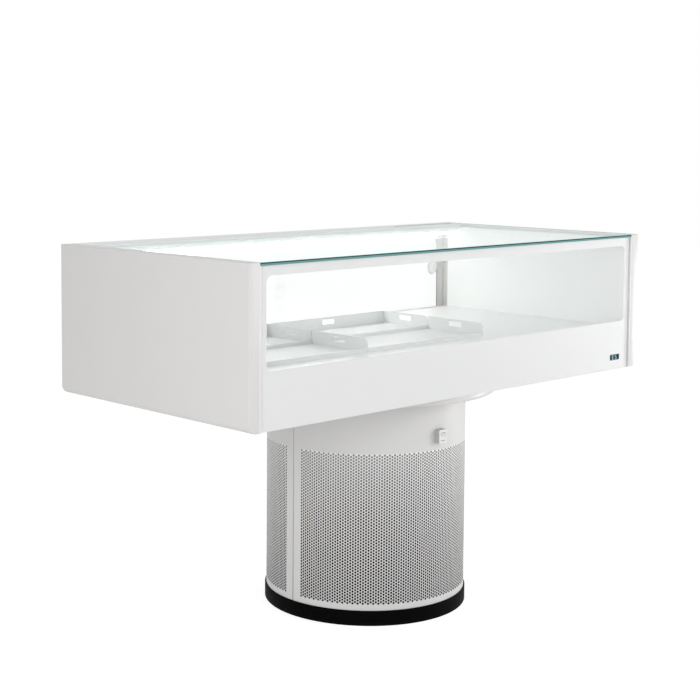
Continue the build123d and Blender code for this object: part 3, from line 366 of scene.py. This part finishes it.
def zinc(name):
    """Zinc plate with its faint flakes."""
    dull, bright = (0.09, 0.092, 0.095), (0.15, 0.153, 0.157)
    look = Look(name)
    flakes = look.cells(46.0)
    return look.done(look.surface({
        "Base Color": look.ramp(flakes, (0.0, dull), (0.8, bright)),
        "Roughness": 0.32 + 0.2 * flakes,
        "Metallic": 0.85,
    }))


def copper_tube(name):
    """Copper with dark tarnish."""
    tarnished, clean = (0.06, 0.03, 0.02), (0.20, 0.085, 0.05)
    look = Look(name)
    patches = look.noise(24.0, 5.0)
    return look.done(look.surface({
        "Base Color": look.ramp(patches, (0.35, tarnished), (0.65, clean)),
        "Roughness": 0.5 - 0.25 * patches,
        "Metallic": 1.0,
        "Normal": look.bump(patches, 0.05),
    }))


def rigid_foam(name, film_tone):
    """Insulating foam, its open rim and the step of the rear rim sealed with a white film."""
    top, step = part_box("tub_insulation")[1].z, 0.03
    pore, skin = (0.48, 0.40, 0.23), (0.72, 0.64, 0.42)
    look = Look(name)
    pores = look.cells(420.0)
    sealed = look.towards("Z") + look.towards("Y") * (look.axis("Z") > top - step) > 0.7
    return look.done(look.surface({
        "Base Color": look.blend(sealed, look.ramp(pores, (0.1, pore), (0.7, skin)), film_tone),
        "Roughness": 0.9,
        "Normal": look.bump(pores, 0.5),
    }))


def finned(name):
    """Black-lacquered thin metal with the pressed ripple of coil fins."""
    thick, thin = (0.012, 0.012, 0.013), (0.03, 0.03, 0.031)
    look = Look(name)
    ripple = look.node("ShaderNodeTexWave", {"bands_direction": "Z"},
                       {"Vector": look.place(), "Scale": 40.0, "Distortion": 0.4}, output="Fac")
    return look.done(look.surface({
        "Base Color": look.blend(look.noise(14.0), thick, thin),
        "Roughness": 0.42 + 0.14 * ripple,
        "Normal": look.bump(ripple, 0.25),
    }))


def dusty_black(name, tone):
    """Black plastic with a satin grain, a little greyer where it nears the floor."""
    reach, gain, dust_tone = 0.012, 60.0, (0.008, 0.008, 0.0075)
    look = Look(name)
    dust = (reach - look.axis("Z")).at_least(0.0) * gain * look.noise(30.0)
    return look.done(look.surface({
        "Base Color": look.blend(dust, tone, dust_tone),
        "Roughness": 0.5 + 0.14 * look.noise(50.0),
        "Specular IOR Level": 0.02,
        "Normal": look.bump(look.noise(1400.0, 2.0), 0.08),
    }))


def fleece(name):
    """White filter fleece, with painted shade that darkens it from the bottom up."""
    foot, tall = 0.08, 0.5
    # Painted shade: from near-black at the foot to grey at the top.
    painted_shade_stops = ((0.04, 0.002), (0.35, 0.008), (0.60, 0.05), (0.80, 0.15), (1.0, 0.30))
    look = Look(name)
    height = (look.axis("Z") - foot) * (1.0 / tall) + 0.06 * look.noise(7.0)
    return look.done(look.surface({
        "Base Color": look.ramp(height, *((level, even_grey(tone)) for level, tone in painted_shade_stops)),
        "Roughness": 0.85 + 0.1 * look.noise(60.0),
        "Normal": look.bump(look.noise(1800.0, 2.0), 0.4),
    }))


def clear_pane(look, tint, straight, slanting):
    """The polished face of a thin pane: clear, with a shine straight on and a stronger one at a slant."""
    shine = look.node("ShaderNodeBsdfGlossy", None, {"Color": WHITE, "Roughness": 0.0})
    through = look.node("ShaderNodeBsdfTransparent", None, {"Color": tint})
    slant = look.node("ShaderNodeLayerWeight", None, {"Blend": 0.5}, output="Facing")
    return look.mixed(straight + slanting * slant ** 5.0, through, shine)


def cut_edge(look, base, shine):
    """The ground edge of a pane."""
    return look.surface({
        "Base Color": base,
        "Roughness": 0.12 + 0.06 * look.noise(120.0),
        "Specular IOR Level": shine,
    })


def front_pane(name, edge_tone, tint):
    """The upright front glass: clear through its faces, and its cut edges nearly so."""
    look = Look(name)
    clear = clear_pane(look, tint, straight=0.012, slanting=0.8)
    edge = cut_edge(look, look.shaded(look.noise(9.0), edge_tone, 0.72), shine=0.2)
    return look.done(look.mixed(abs(look.towards("Y")) > 0.6, look.mixed(0.97, edge, clear), clear))


def top_pane(name, tone):
    """The top glass: its front edge deep green under a painted highlight along the upper arris, its other edges pale.
    """
    low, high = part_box("top_glass")
    front_depth = 0.006
    look = Look(name)
    level = (look.axis("Z") - low.z) * (1.0 / (high.z - low.z))
    # The last stop is a painted highlight, the glint along the upper arris.
    front = look.ramp(level, (0.0, tone.glass_edge), (0.38, tone.glass_edge), (0.48, tone.deep_edge),
                      (0.90, tone.deep_edge), (0.96, tone.painted_edge_glint))
    pale = look.shaded(look.noise(9.0), tone.pale_edge, 0.9)
    edge = cut_edge(look, look.blend(look.axis("Y") > low.y + front_depth, front, pale), shine=0.2)
    clear = clear_pane(look, tone.top_glass, straight=0.03, slanting=0.35)
    return look.done(look.mixed(abs(look.towards("Z")) > 0.8, edge, clear))


def door_pane(name, node, print_tone, edge_tone, tint):
    """Door glass: nearly clear edges, and a white print along the top and the outer end with a round inner corner."""
    low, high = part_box(node)
    outer = -1.0 if low.x + high.x < 0 else 1.0
    border, corner = 0.034, 0.024
    end = (high.x if outer > 0 else low.x) - outer * (border + corner)
    top = high.z - border - corner
    look = Look(name)
    across = (outer * (look.axis("X") - end)).at_least(0.0)
    up = (look.axis("Z") - top).at_least(0.0)
    printed = (across * across + up * up) > corner * corner
    enamel = look.surface({
        "Base Color": look.shaded(look.noise(5.0), print_tone, 0.98),
        "Roughness": 0.12 + 0.05 * look.noise(60.0),
    })
    clear = clear_pane(look, tint, straight=0.03, slanting=0.5)
    edge = cut_edge(look, look.shaded(look.noise(9.0), edge_tone, 0.72), shine=0.5)
    rim = look.mixed(0.93, edge, clear)
    return look.done(look.mixed(abs(look.towards("Y")) > 0.6, rim, look.mixed(printed, clear, enamel)))


def opal_light(name, tone, strength):
    """Opal diffuser, lit from inside, fading towards its ends."""
    even_half, drop = 0.35, 1.75
    look = Look(name)
    fade = 1.0 - (abs(look.axis("X")) - even_half).at_least(0.0) * drop
    return look.done(look.surface({
        "Base Color": (0.85, 0.85, 0.84),
        "Roughness": 0.35 + 0.1 * look.noise(90.0),
        "Emission Color": look.shaded(fade, tone, 0.1),
        "Emission Strength": strength,
    }))


def dark_window(name, tone):
    """The display's smoked window: nearly black, with almost no shine of its own behind the front glass."""
    look = Look(name)
    return look.done(look.surface({
        "Base Color": look.shaded(look.noise(40.0), tone, 0.6),
        "Roughness": 0.45 + 0.1 * look.noise(300.0),
        "Specular IOR Level": 0.05,
    }))


def lit_digits(name, tone, strength):
    """Lit bars of the display, a little uneven."""
    look = Look(name)
    return look.done(look.surface({
        "Base Color": darker(tone, 0.4),
        "Roughness": 0.4 + 0.1 * look.noise(400.0),
        "Emission Color": look.shaded(look.noise(300.0), tone, 0.85),
        "Emission Strength": strength,
    }))


def switch_case(name, front_tone, side_shade_tone):
    """Switch housing with a pale front and sides greyed by painted shade."""
    look = Look(name)
    grain = look.noise(1600.0, 2.0)
    # Painted shade: every face that does not look forwards takes the side colour.
    front = -1.0 * look.towards("Y") > 0.7
    return look.done(look.surface({
        "Base Color": look.blend(front, look.shaded(grain, side_shade_tone, 0.9), look.shaded(grain, front_tone, 0.97)),
        "Roughness": 0.36 + 0.1 * look.noise(40.0),
        "Normal": look.bump(grain, 0.06),
    }))


def glass_bedding(name, edge_tone, tone):
    """Silicone under the top glass, with a painted reflection of the edge's green along the front only."""
    front, front_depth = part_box("glass_seal")[0].y, 0.003
    look = Look(name)
    # Painted reflection: the front strip takes the glass edge's green.
    behind = look.axis("Y") > front + front_depth
    return look.done(look.surface({
        "Base Color": look.blend(behind, edge_tone, look.shaded(look.noise(20.0), tone, 0.88)),
        "Roughness": 0.32 + 0.1 * look.noise(90.0),
    }))


def silicone(name, tone):
    """White silicone, which lets a little light in."""
    look = Look(name)
    return look.done(look.surface({
        "Base Color": look.shaded(look.noise(20.0), tone, 0.88),
        "Roughness": 0.32 + 0.1 * look.noise(90.0),
        "Subsurface Weight": 0.2,
        "Subsurface Radius": (0.004, 0.004, 0.004),
    }))


def finishes():
    """Every finish of the case: one for each slot of the record, and those that single solids have of their own."""
    tone = colours()
    by_slot = {
        "white_board": coated("white_laminate", tone.laminate, roughness=0.34, grain=900.0, depth=0.03, patchy=0.975),
        "white_steel": coated("white_coated_steel", tone.coat, roughness=0.42, grain=1500.0, depth=0.05),
        "perforated_sheet": sheet_coat("white_coated_sheet", tone.drum, tone.painted_light_webs),
        "white_aluminium": coated("white_coated_aluminium", tone.coat, roughness=0.38, grain=1300.0, depth=0.04),
        "white_print": coated("white_enamel", tone.printed, roughness=0.45, grain=500.0, depth=0.01, patchy=0.99),
        "white_tray": coated("white_tray_plastic", tone.tray, roughness=0.30, grain=700.0, depth=0.03, patchy=0.97),
        "switch_plastic": coated("pale_grey_plastic", tone.rocker, roughness=0.40, grain=1600.0, depth=0.06),
        "grey_plastic": coated("grey_plastic", tone.grey, roughness=0.5, grain=1200.0, depth=0.08, patchy=0.85),
        "black_steel": coated("black_enamel", tone.enamel, roughness=0.28, grain=600.0, depth=0.05, patchy=0.7),
        "filter_fleece": fleece("shaded_fleece"),
        "rubber": coated("black_rubber", tone.rubber, roughness=0.75, grain=900.0, depth=0.15, patchy=0.6),
        "dark_lens": dark_window("dark_lens", tone.lens),
        "black_plastic": dusty_black("black_plastic", tone.plinth),
        "frame_steel": zinc("zinc_plate"),
        "liner_steel": brushed("brushed_steel", tone.steel, roughness=0.25, stretch=(0.03, 1.0, 1.0)),
        "plain_aluminium": brushed("plain_aluminium", tone.aluminium, roughness=0.28, stretch=(0.05, 1.0, 1.0)),
        "fin_metal": finned("coil_fins"),
        "copper": copper_tube("copper_tube"),
        "foam": rigid_foam("rigid_foam", tone.coat),
        "seal": silicone("white_silicone", tone.silicone),
        "light": opal_light("opal_diffuser", tone.glow, strength=19.0),
        "clear_glass": front_pane("front_pane", tone.pale_edge, tone.clear_glass),
    }
    inside = coated("white_inner_coat", tone.inside, roughness=0.36, grain=1300.0, depth=0.04, patchy=0.985)
    # The rail's coat carries a painted shadow line along the slot.
    rail_with_painted_shadow = rail_coat("rail_coat_painted_shadow", tone.rail, tone.slot)
    own = {
        "rear_rail": rail_with_painted_shadow,
        "driver_cover": rail_with_painted_shadow,
        "light_profiles": coated("white_rail_coat", tone.rail, roughness=0.40, grain=1300.0, depth=0.04, patchy=0.98),
        "inner_walls": inside,
        "deck_plates": inside,
        # Painted light: the front posts and the door fittings take the brighter inner white to make up for the shade
        # they stand in.
        "front_posts": inside,
        "left_door_fittings": inside,
        "right_door_fittings": inside,
        "switch_box": switch_case("switch_case", tone.switch_front, tone.switch_side_shade),
        "glass_seal": glass_bedding("glass_bedding", darker(tone.glass_edge, 0.75), tone.bedding),
        "top_glass": top_pane("top_pane", tone),
    }
    for side in ("left", "right"):
        own[f"{side}_door_glass"] = door_pane(f"{side}_door_pane", f"{side}_door_glass", tone.printed, tone.pale_edge,
                                              tone.clear_glass)
    return by_slot, own


def finish_of(slot):
    """The material made for a slot of the record."""
    return bpy.data.materials[bpy.context.scene["case_finishes"][slot]]


# Modelling helpers

def add(operator, name, stretch=(1.0, 1.0, 1.0), **settings):
    """Adds a primitive with nothing else selected, puts its place and size into its mesh, and returns it."""
    bpy.ops.object.select_all(action="DESELECT")
    operator(**settings)
    piece = bpy.context.object
    piece.name = piece.data.name = name
    piece.scale = stretch
    bpy.ops.object.transform_apply(location=True, rotation=True, scale=True)
    return piece


def slab(name, low, high):
    """A block between two corners."""
    low, high = Vector(low), Vector(high)
    return add(bpy.ops.mesh.primitive_cube_add, name, high - low, size=1.0, location=(low + high) / 2)


def disc(name, radius, low, high):
    """A round block on the upright axis, between two heights."""
    return add(bpy.ops.mesh.primitive_cylinder_add, name, vertices=ROUND, radius=radius, depth=high - low,
               location=(0.0, 0.0, (low + high) / 2))


def only(piece):
    """Makes a piece the one that is selected and active."""
    bpy.ops.object.select_all(action="DESELECT")
    piece.select_set(True)
    bpy.context.view_layer.objects.active = piece


def settle(piece):
    """Puts a piece's place and turn into its mesh."""
    only(piece)
    bpy.ops.object.transform_apply(location=True, rotation=True, scale=True)


def choose(piece, kind, test):
    """Selects a piece's corners, edges or faces whose points all pass a test, and opens it for editing."""
    only(piece)
    mesh = piece.data
    for group in (mesh.vertices, mesh.edges, mesh.polygons):
        group.foreach_set("select", [False] * len(group))
    passed = [test(corner.co) for corner in mesh.vertices]
    bpy.context.tool_settings.mesh_select_mode = (kind == "VERT", kind == "EDGE", kind == "FACE")
    if kind == "VERT":
        mesh.vertices.foreach_set("select", passed)
    else:
        group = mesh.edges if kind == "EDGE" else mesh.polygons
        for item in group:
            if all(passed[corner] for corner in item.vertices):
                item.select = True
                for corner in item.vertices:
                    mesh.vertices[corner].select = True
    bpy.ops.object.mode_set(mode="EDIT")


def close():
    """Ends the editing of a piece."""
    bpy.ops.object.mode_set(mode="OBJECT")


def extrude(piece, test, *moves):
    """Draws the chosen edges out by one or more steps."""
    choose(piece, "EDGE", test)
    for move in moves:
        bpy.ops.mesh.extrude_region_move(TRANSFORM_OT_translate={"value": move})
    close()


def cut_out(piece, test):
    """Deletes the chosen faces."""
    choose(piece, "FACE", test)
    bpy.ops.mesh.delete(type="FACE")
    close()


def round_edges(piece, test, radius, segments):
    """Rounds the chosen edges."""
    choose(piece, "EDGE", test)
    bpy.ops.mesh.bevel(offset=radius, segments=segments, profile=0.5)
    close()


def weld(piece):
    """Makes one point of those that lie together."""
    choose(piece, "VERT", lambda point: True)
    bpy.ops.mesh.remove_doubles(threshold=WELD)
    close()


def modify(piece, kind, **settings):
    """Adds one modifier and applies it."""
    only(piece)
    modifier = piece.modifiers.new(kind.title(), kind)
    for key, value in settings.items():
        setattr(modifier, key, value)
    bpy.ops.object.modifier_apply(modifier=modifier.name)


def ease(piece, width, segments):
    """Rounds all sharp edges of a piece."""
    modify(piece, "BEVEL", width=width, segments=segments, limit_method="ANGLE", angle_limit=SHARP)


def repeat(piece, count, step):
    """Repeats a piece at even steps and welds the copies together."""
    modify(piece, "ARRAY", count=count, use_relative_offset=False, use_constant_offset=True,
           constant_offset_displace=step, use_merge_vertices=True, merge_threshold=WELD)


def copy_of(piece, name):
    """A copy with a mesh of its own."""
    twin = piece.copy()
    twin.data = piece.data.copy()
    twin.name = twin.data.name = name
    bpy.context.scene.collection.objects.link(twin)
    return twin


def dress(piece, slot, body, *nodes):
    """Gives a finished piece its material and its place in the case."""
    only(piece)
    bpy.ops.object.shade_smooth_by_angle(angle=SMOOTH)
    piece.data.materials.clear()
    piece.data.materials.append(finish_of(slot))
    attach(piece, body)
    if nodes:
        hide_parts(*nodes)


# Operators

class CASE_OT_finishes(bpy.types.Operator):
    """Make the materials and give them to the solids"""
    bl_idname = "case.finishes"
    bl_label = "Finishes"

    def execute(self, context):
        by_slot, own = finishes()
        context.scene["case_finishes"] = {slot: material.name for slot, material in by_slot.items()}
        slots = {part["node"]: part["material_slot"] for part in frame["record"]["subparts"]}
        for name, node in NODES.items():
            material = own.get(name, by_slot[slots[name]])
            for place in node.material_slots:
                place.material = material
        return {"FINISHED"}


class CASE_OT_perforated_shells(bpy.types.Operator):
    """Make the pedestal's perforated front and rear shell"""
    bl_idname = "case.perforated_shells"
    bl_label = "Perforated shells"

    def execute(self, context):
        size = sizes()
        low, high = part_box("front_shell")
        radius = -low.y
        flat = self.flat_sheet(size, low.z, high.z, math.pi * radius - size.seam)
        middle = size.pitch * STAGGER / 2
        choose(flat, "FACE", lambda point: point.x > middle - NEAR)
        bpy.ops.mesh.separate(type="SELECTED")
        close()
        right = [piece for piece in context.selected_objects if piece is not flat][0]
        for piece, side in ((flat, "left"), (right, "right")):
            modify(piece, "SOLIDIFY", thickness=size.sheet, offset=-1.0, use_even_offset=True)
            across = [corner.co.x for corner in piece.data.vertices]
            modify(piece, "SIMPLE_DEFORM", deform_method="BEND", deform_axis="Z",
                   angle=(max(across) - min(across)) / radius)
            piece.location.y = -radius
            settle(piece)
            piece.name = piece.data.name = f"front_sheet_{side}"
            rear = copy_of(piece, f"rear_sheet_{side}")
            rear.rotation_euler.z = math.pi
            settle(rear)
            dress(piece, "perforated_sheet", "cabinet", "front_shell")
            dress(rear, "perforated_sheet", "cabinet", "rear_shell")
        return {"FINISHED"}

    def cell(self, size, width):
        """One hole in its own small rectangle, with corners where the next columns have theirs."""
        corner_reach = size.hole / 2 * 1.04  # the corners of an eight-sided hole lie outside the round one
        past_corners = size.hole * 0.6
        cell = add(bpy.ops.mesh.primitive_grid_add, "cell", (width, size.pitch, 1.0), x_subdivisions=2,
                   y_subdivisions=2, size=1.0, rotation=(math.pi / 2, 0.0, 0.0))
        choose(cell, "FACE", lambda point: True)
        bpy.ops.mesh.dissolve_faces(use_verts=False)
        bpy.ops.mesh.poke()
        close()
        choose(cell, "VERT", lambda point: point.length < NEAR)
        bpy.ops.mesh.bevel(offset=corner_reach, affect="VERTICES", segments=1)
        close()
        cut_out(cell, lambda point: point.length < past_corners)
        return cell

    def flat_sheet(self, size, bottom, top, whole):
        """The sheet before it is rolled: the field of holes, then the plain margins and the seam returns."""
        width = size.pitch * STAGGER
        half = size.pitch / 2
        upwards = (0.0, 0.0, size.pitch)
        long = self.cell(size, width)
        short = copy_of(long, "short_column")
        repeat(long, size.field_rows, upwards)
        repeat(short, size.field_rows - 1, upwards)
        rise = (size.field_rows - 2) * size.pitch + half
        extrude(short, lambda point: point.z < -half + NEAR, (0.0, 0.0, -half))
        extrude(short, lambda point: point.z > rise - NEAR, (0.0, 0.0, half))
        short.location = (width, 0.0, half)
        settle(short)
        long.select_set(True)
        bpy.context.view_layer.objects.active = long
        bpy.ops.object.join()
        weld(long)
        repeat(long, (size.field_columns + 1) // 2, (2 * width, 0.0, 0.0))
        last = (size.field_columns - 0.5) * width
        cut_out(long, lambda point: point.x > last - NEAR)
        long.location = ((1 - size.field_columns) / 2 * width, 0.0, size.field_start)
        settle(long)
        foot = size.field_start - half
        head = foot + size.field_rows * size.pitch
        extrude(long, lambda point: point.z < foot + NEAR, (0.0, 0.0, bottom - foot))
        extrude(long, lambda point: point.z > head - NEAR, (0.0, 0.0, top - head))
        edge = size.field_columns * width / 2
        steps = 8
        step = (whole / 2 - edge) / steps
        for way in (-1.0, 1.0):
            extrude(long, lambda point: way * point.x > edge - NEAR, *[(way * step, 0.0, 0.0)] * steps)
            extrude(long, lambda point: way * point.x > whole / 2 - NEAR, (0.0, size.seam_return, 0.0))
        weld(long)
        return long


class CASE_OT_collar(bpy.types.Operator):
    """Make the round collar under the box"""
    bl_idname = "case.collar"
    bl_label = "Collar"

    def execute(self, context):
        size = sizes()
        low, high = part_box("collar_plate")
        collar = disc("collar", (high.x - low.x) / 2, low.z, high.z)
        round_edges(collar, lambda point: point.z < low.z + NEAR, size.collar_round, 8)
        round_edges(collar, lambda point: point.z > high.z - NEAR, size.collar_edge, 2)
        dress(collar, "white_board", "cabinet", "collar_plate")
        return {"FINISHED"}


class CASE_OT_plinth(bpy.types.Operator):
    """Make the black plinth ring"""
    bl_idname = "case.plinth"
    bl_label = "Plinth"

    def execute(self, context):
        size = sizes()
        low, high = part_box("plinth_ring")
        radius = (high.x - low.x) / 2
        inner, spare = radius - size.plinth_wall, 0.0005
        plinth = disc("plinth", radius, low.z, high.z)
        for level in (low.z, high.z):
            choose(plinth, "FACE", lambda point: abs(point.z - level) < NEAR)
            bpy.ops.mesh.inset(thickness=size.plinth_wall)
            bpy.ops.mesh.delete(type="FACE")
            close()
        choose(plinth, "EDGE", lambda point: point.xy.length < inner + spare)
        bpy.ops.mesh.bridge_edge_loops()
        close()
        for level in (low.z, high.z):
            round_edges(plinth, lambda point: abs(point.z - level) < NEAR and point.xy.length > radius - spare,
                        size.plinth_edge, 3)
        choose(plinth, "VERT", lambda point: True)
        bpy.ops.mesh.normals_make_consistent(inside=False)
        close()
        dress(plinth, "black_plastic", "cabinet", "plinth_ring")
        return {"FINISHED"}


class CASE_OT_side_panels(bpy.types.Operator):
    """Make the two side panels, rounded along their lower outer edge"""
    bl_idname = "case.side_panels"
    bl_label = "Side panels"

    def execute(self, context):
        size = sizes()
        for side in ("left", "right"):
            low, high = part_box(f"{side}_side_panel")
            face = low.x if side == "left" else high.x
            panel = slab(f"{side}_panel", low, high)
            round_edges(panel, lambda point: abs(point.x - face) < NEAR and point.z < low.z + NEAR,
                        size.panel_round, 14)
            ease(panel, size.board_edge, 3)
            dress(panel, "white_board", "cabinet", f"{side}_side_panel")
        return {"FINISHED"}


class CASE_OT_corner_beads(bpy.types.Operator):
    """Make the silicone beads between the front glass and the side panels"""
    bl_idname = "case.corner_beads"
    bl_label = "Corner beads"

    def execute(self, context):
        size = sizes()
        recess, lap = size.bead_recess, size.board_edge
        glass_low, glass_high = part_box("front_glass")
        for side in ("left", "right"):
            panel_low, panel_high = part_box(f"{side}_side_panel")
            ends = (panel_high.x - lap, glass_low.x) if side == "left" else (glass_high.x, panel_low.x + lap)
            bead = slab(f"{side}_corner_bead", (ends[0], glass_low.y + recess, glass_low.z),
                        (ends[1], glass_high.y, glass_high.z))
            ease(bead, recess, 3)
            dress(bead, "seal", "cabinet")
        return {"FINISHED"}


class CASE_OT_display(bpy.types.Operator):
    """Make the lit digits on the controller's lens"""
    bl_idname = "case.display"
    bl_label = "Display digits"

    # Each bar of a digit: at the right or not, its level in half digits, upright or not
    BARS = {"a": (0, 2, 0), "b": (1, 1, 1), "c": (1, 0, 1), "d": (0, 0, 0), "f": (0, 1, 1), "g": (0, 1, 0)}
    LIT = {"3": "abcdg", "5": "acdfg"}
    SHIFTS = {"3": -0.013, "5": 0.008}
    POINT_SHIFT = -0.0025

    def execute(self, context):
        low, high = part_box("controller_lens")
        centre = (low + high) / 2
        bar = sizes().digit_height / 2
        model = self.tile(low.y, bar * 0.43, bar * 0.09, bar * 0.07)
        pieces = []
        for digit, shift in self.SHIFTS.items():
            for name in self.LIT[digit]:
                right, level, upright = self.BARS[name]
                twin = copy_of(model, "bar")
                if upright:
                    twin.rotation_euler.y = math.pi / 2
                    twin.location.x = centre.x + shift + bar * (right - 0.5)
                    twin.location.z = centre.z + bar * (level - 0.5)
                else:
                    twin.location.x = centre.x + shift
                    twin.location.z = centre.z + bar * (level - 1.0)
                pieces.append(twin)
        point = self.tile(low.y, bar * 0.1, bar * 0.1, bar * 0.06)
        point.location = (centre.x + self.POINT_SHIFT, 0.0, centre.z - bar)
        pieces.append(point)
        bpy.data.objects.remove(model)
        bpy.ops.object.select_all(action="DESELECT")
        for piece in pieces:
            piece.select_set(True)
        bpy.context.view_layer.objects.active = pieces[0]
        bpy.ops.object.transform_apply(location=True, rotation=True, scale=True)
        bpy.ops.object.join()
        digits = bpy.context.object
        digits.name = digits.data.name = "display_digits"
        dress(digits, "dark_lens", "cabinet")
        digits.data.materials[0] = lit_digits("lit_digits", colours().digits, strength=2.0)
        return {"FINISHED"}

    def tile(self, front, half_length, half_width, edge):
        """One bar or point, let into the lens and just proud of its face."""
        proud, sunk = 0.0001, 0.0004
        tile = slab("bar", (-half_length, front - proud, -half_width), (half_length, front + sunk, half_width))
        ease(tile, edge, 2)
        return tile


class CASE_OT_stage(bpy.types.Operator):
    """Set the floor, the light and the camera"""
    bl_idname = "case.stage"
    bl_label = "Stage"

    def execute(self, context):
        self.floor()
        self.world(context)
        self.lamp("key", place=(2.6, -4.0, 1.95), target=(0.2, 0.0, 0.8), size=2.0, power=54.0)
        self.lamp("side", place=(4.6, -1.9, 0.55), target=(0.2, -0.2, 0.5), size=1.0, power=42.0)
        self.lamp("fill", place=(-4.4, -2.4, 1.8), target=(-0.4, 0.0, 0.8), size=2.4, power=78.0)
        self.camera(context)
        context.scene.view_settings.view_transform = "Standard"
        return {"FINISHED"}

    def floor(self):
        """A pale floor, seen white with a soft shadow on it."""
        floor = add(bpy.ops.mesh.primitive_plane_add, "floor", size=30.0)
        look = Look("pale_floor")
        glow = look.node("ShaderNodeEmission", None, {"Color": WHITE, "Strength": 0.8})
        lit_tone = look.blend(look.noise(3.0), even_grey(0.40), even_grey(0.41))
        lit = look.node("ShaderNodeBsdfDiffuse", None, {"Color": lit_tone})
        plain = look.node("ShaderNodeBsdfDiffuse", None, {"Color": even_grey(0.86)})
        shown = look.node("ShaderNodeAddShader", None, {0: glow, 1: lit})
        floor.data.materials.append(look.done(look.mixed(look.seen(), plain, shown)))

    def world(self, context):
        """Soft light from all round, seen as white."""
        look = Look("studio", "World")
        soft = look.node("ShaderNodeBackground", None, {"Color": WHITE, "Strength": 0.56})
        white = look.node("ShaderNodeBackground", None, {"Color": WHITE, "Strength": 1.0})
        context.scene.world = look.done(look.mixed(look.seen(), soft, white))

    def lamp(self, name, place, target, size, power):
        """A square soft lamp, turned to a target."""
        bpy.ops.object.select_all(action="DESELECT")
        turn = (Vector(target) - Vector(place)).to_track_quat("-Z", "Y").to_euler()
        bpy.ops.object.light_add(type="AREA", location=place, rotation=turn)
        lamp = bpy.context.object
        lamp.name = name
        lamp.data.size = size
        lamp.data.energy = power

    def camera(self, context):
        """A camera at the photograph's place, with its turn in radians and its focal length in the image's pixels."""
        place, focal, yaw, pitch, roll = (-3.72407, -3.59489, 1.63885), 1477.55, 0.75802, 0.07569, 0.00541
        image_width, sensor_width = 700.0, 36.0
        ahead = Vector((math.sin(yaw) * math.cos(pitch), math.cos(yaw) * math.cos(pitch), -math.sin(pitch)))
        side = Vector((math.cos(yaw), -math.sin(yaw), 0.0))
        up = side.cross(ahead)
        side, up = side * math.cos(roll) + up * math.sin(roll), up * math.cos(roll) - side * math.sin(roll)
        bpy.ops.object.select_all(action="DESELECT")
        bpy.ops.object.camera_add()
        camera = bpy.context.object
        camera.matrix_world = Matrix.Translation(place) @ Matrix((side, up, -ahead)).transposed().to_4x4()
        camera.data.sensor_width = sensor_width
        camera.data.lens = focal / image_width * sensor_width
        camera.data.shift_x, camera.data.shift_y = 0.07, -0.15
        camera.data.clip_end = 60.0
        context.scene.camera = camera


class CASE_PT_panel(bpy.types.Panel):
    """Lists the operators, the sizes and the colours in the sidebar"""
    bl_label = "Display case"
    bl_idname = "CASE_PT_panel"
    bl_space_type = "VIEW_3D"
    bl_region_type = "UI"
    bl_category = "Display case"

    def draw(self, context):
        for operator in OPERATORS:
            self.layout.operator(operator.bl_idname)
        for group in (sizes(), colours()):
            box = self.layout.box()
            for name in group.__annotations__:
                box.prop(group, name)


OPERATORS = (CASE_OT_finishes, CASE_OT_perforated_shells, CASE_OT_collar, CASE_OT_plinth, CASE_OT_side_panels,
             CASE_OT_corner_beads, CASE_OT_display, CASE_OT_stage)
CLASSES = (CaseSizes, CaseColours, *OPERATORS, CASE_PT_panel)


def register():
    """Adds the operators, the panel and the settings."""
    for item in CLASSES:
        bpy.utils.register_class(item)
    bpy.types.Scene.case_sizes = bpy.props.PointerProperty(type=CaseSizes)
    bpy.types.Scene.case_colours = bpy.props.PointerProperty(type=CaseColours)


def unregister():
    """Takes them away again."""
    del bpy.types.Scene.case_colours
    del bpy.types.Scene.case_sizes
    for item in reversed(CLASSES):
        bpy.utils.unregister_class(item)


def main():
    """Builds the whole scene."""
    register()
    bpy.ops.case.finishes()
    bpy.ops.case.perforated_shells()
    bpy.ops.case.collar()
    bpy.ops.case.plinth()
    bpy.ops.case.side_panels()
    bpy.ops.case.corner_beads()
    bpy.ops.case.display()
    bpy.ops.case.stage()


if __name__ == "__main__":
    main()
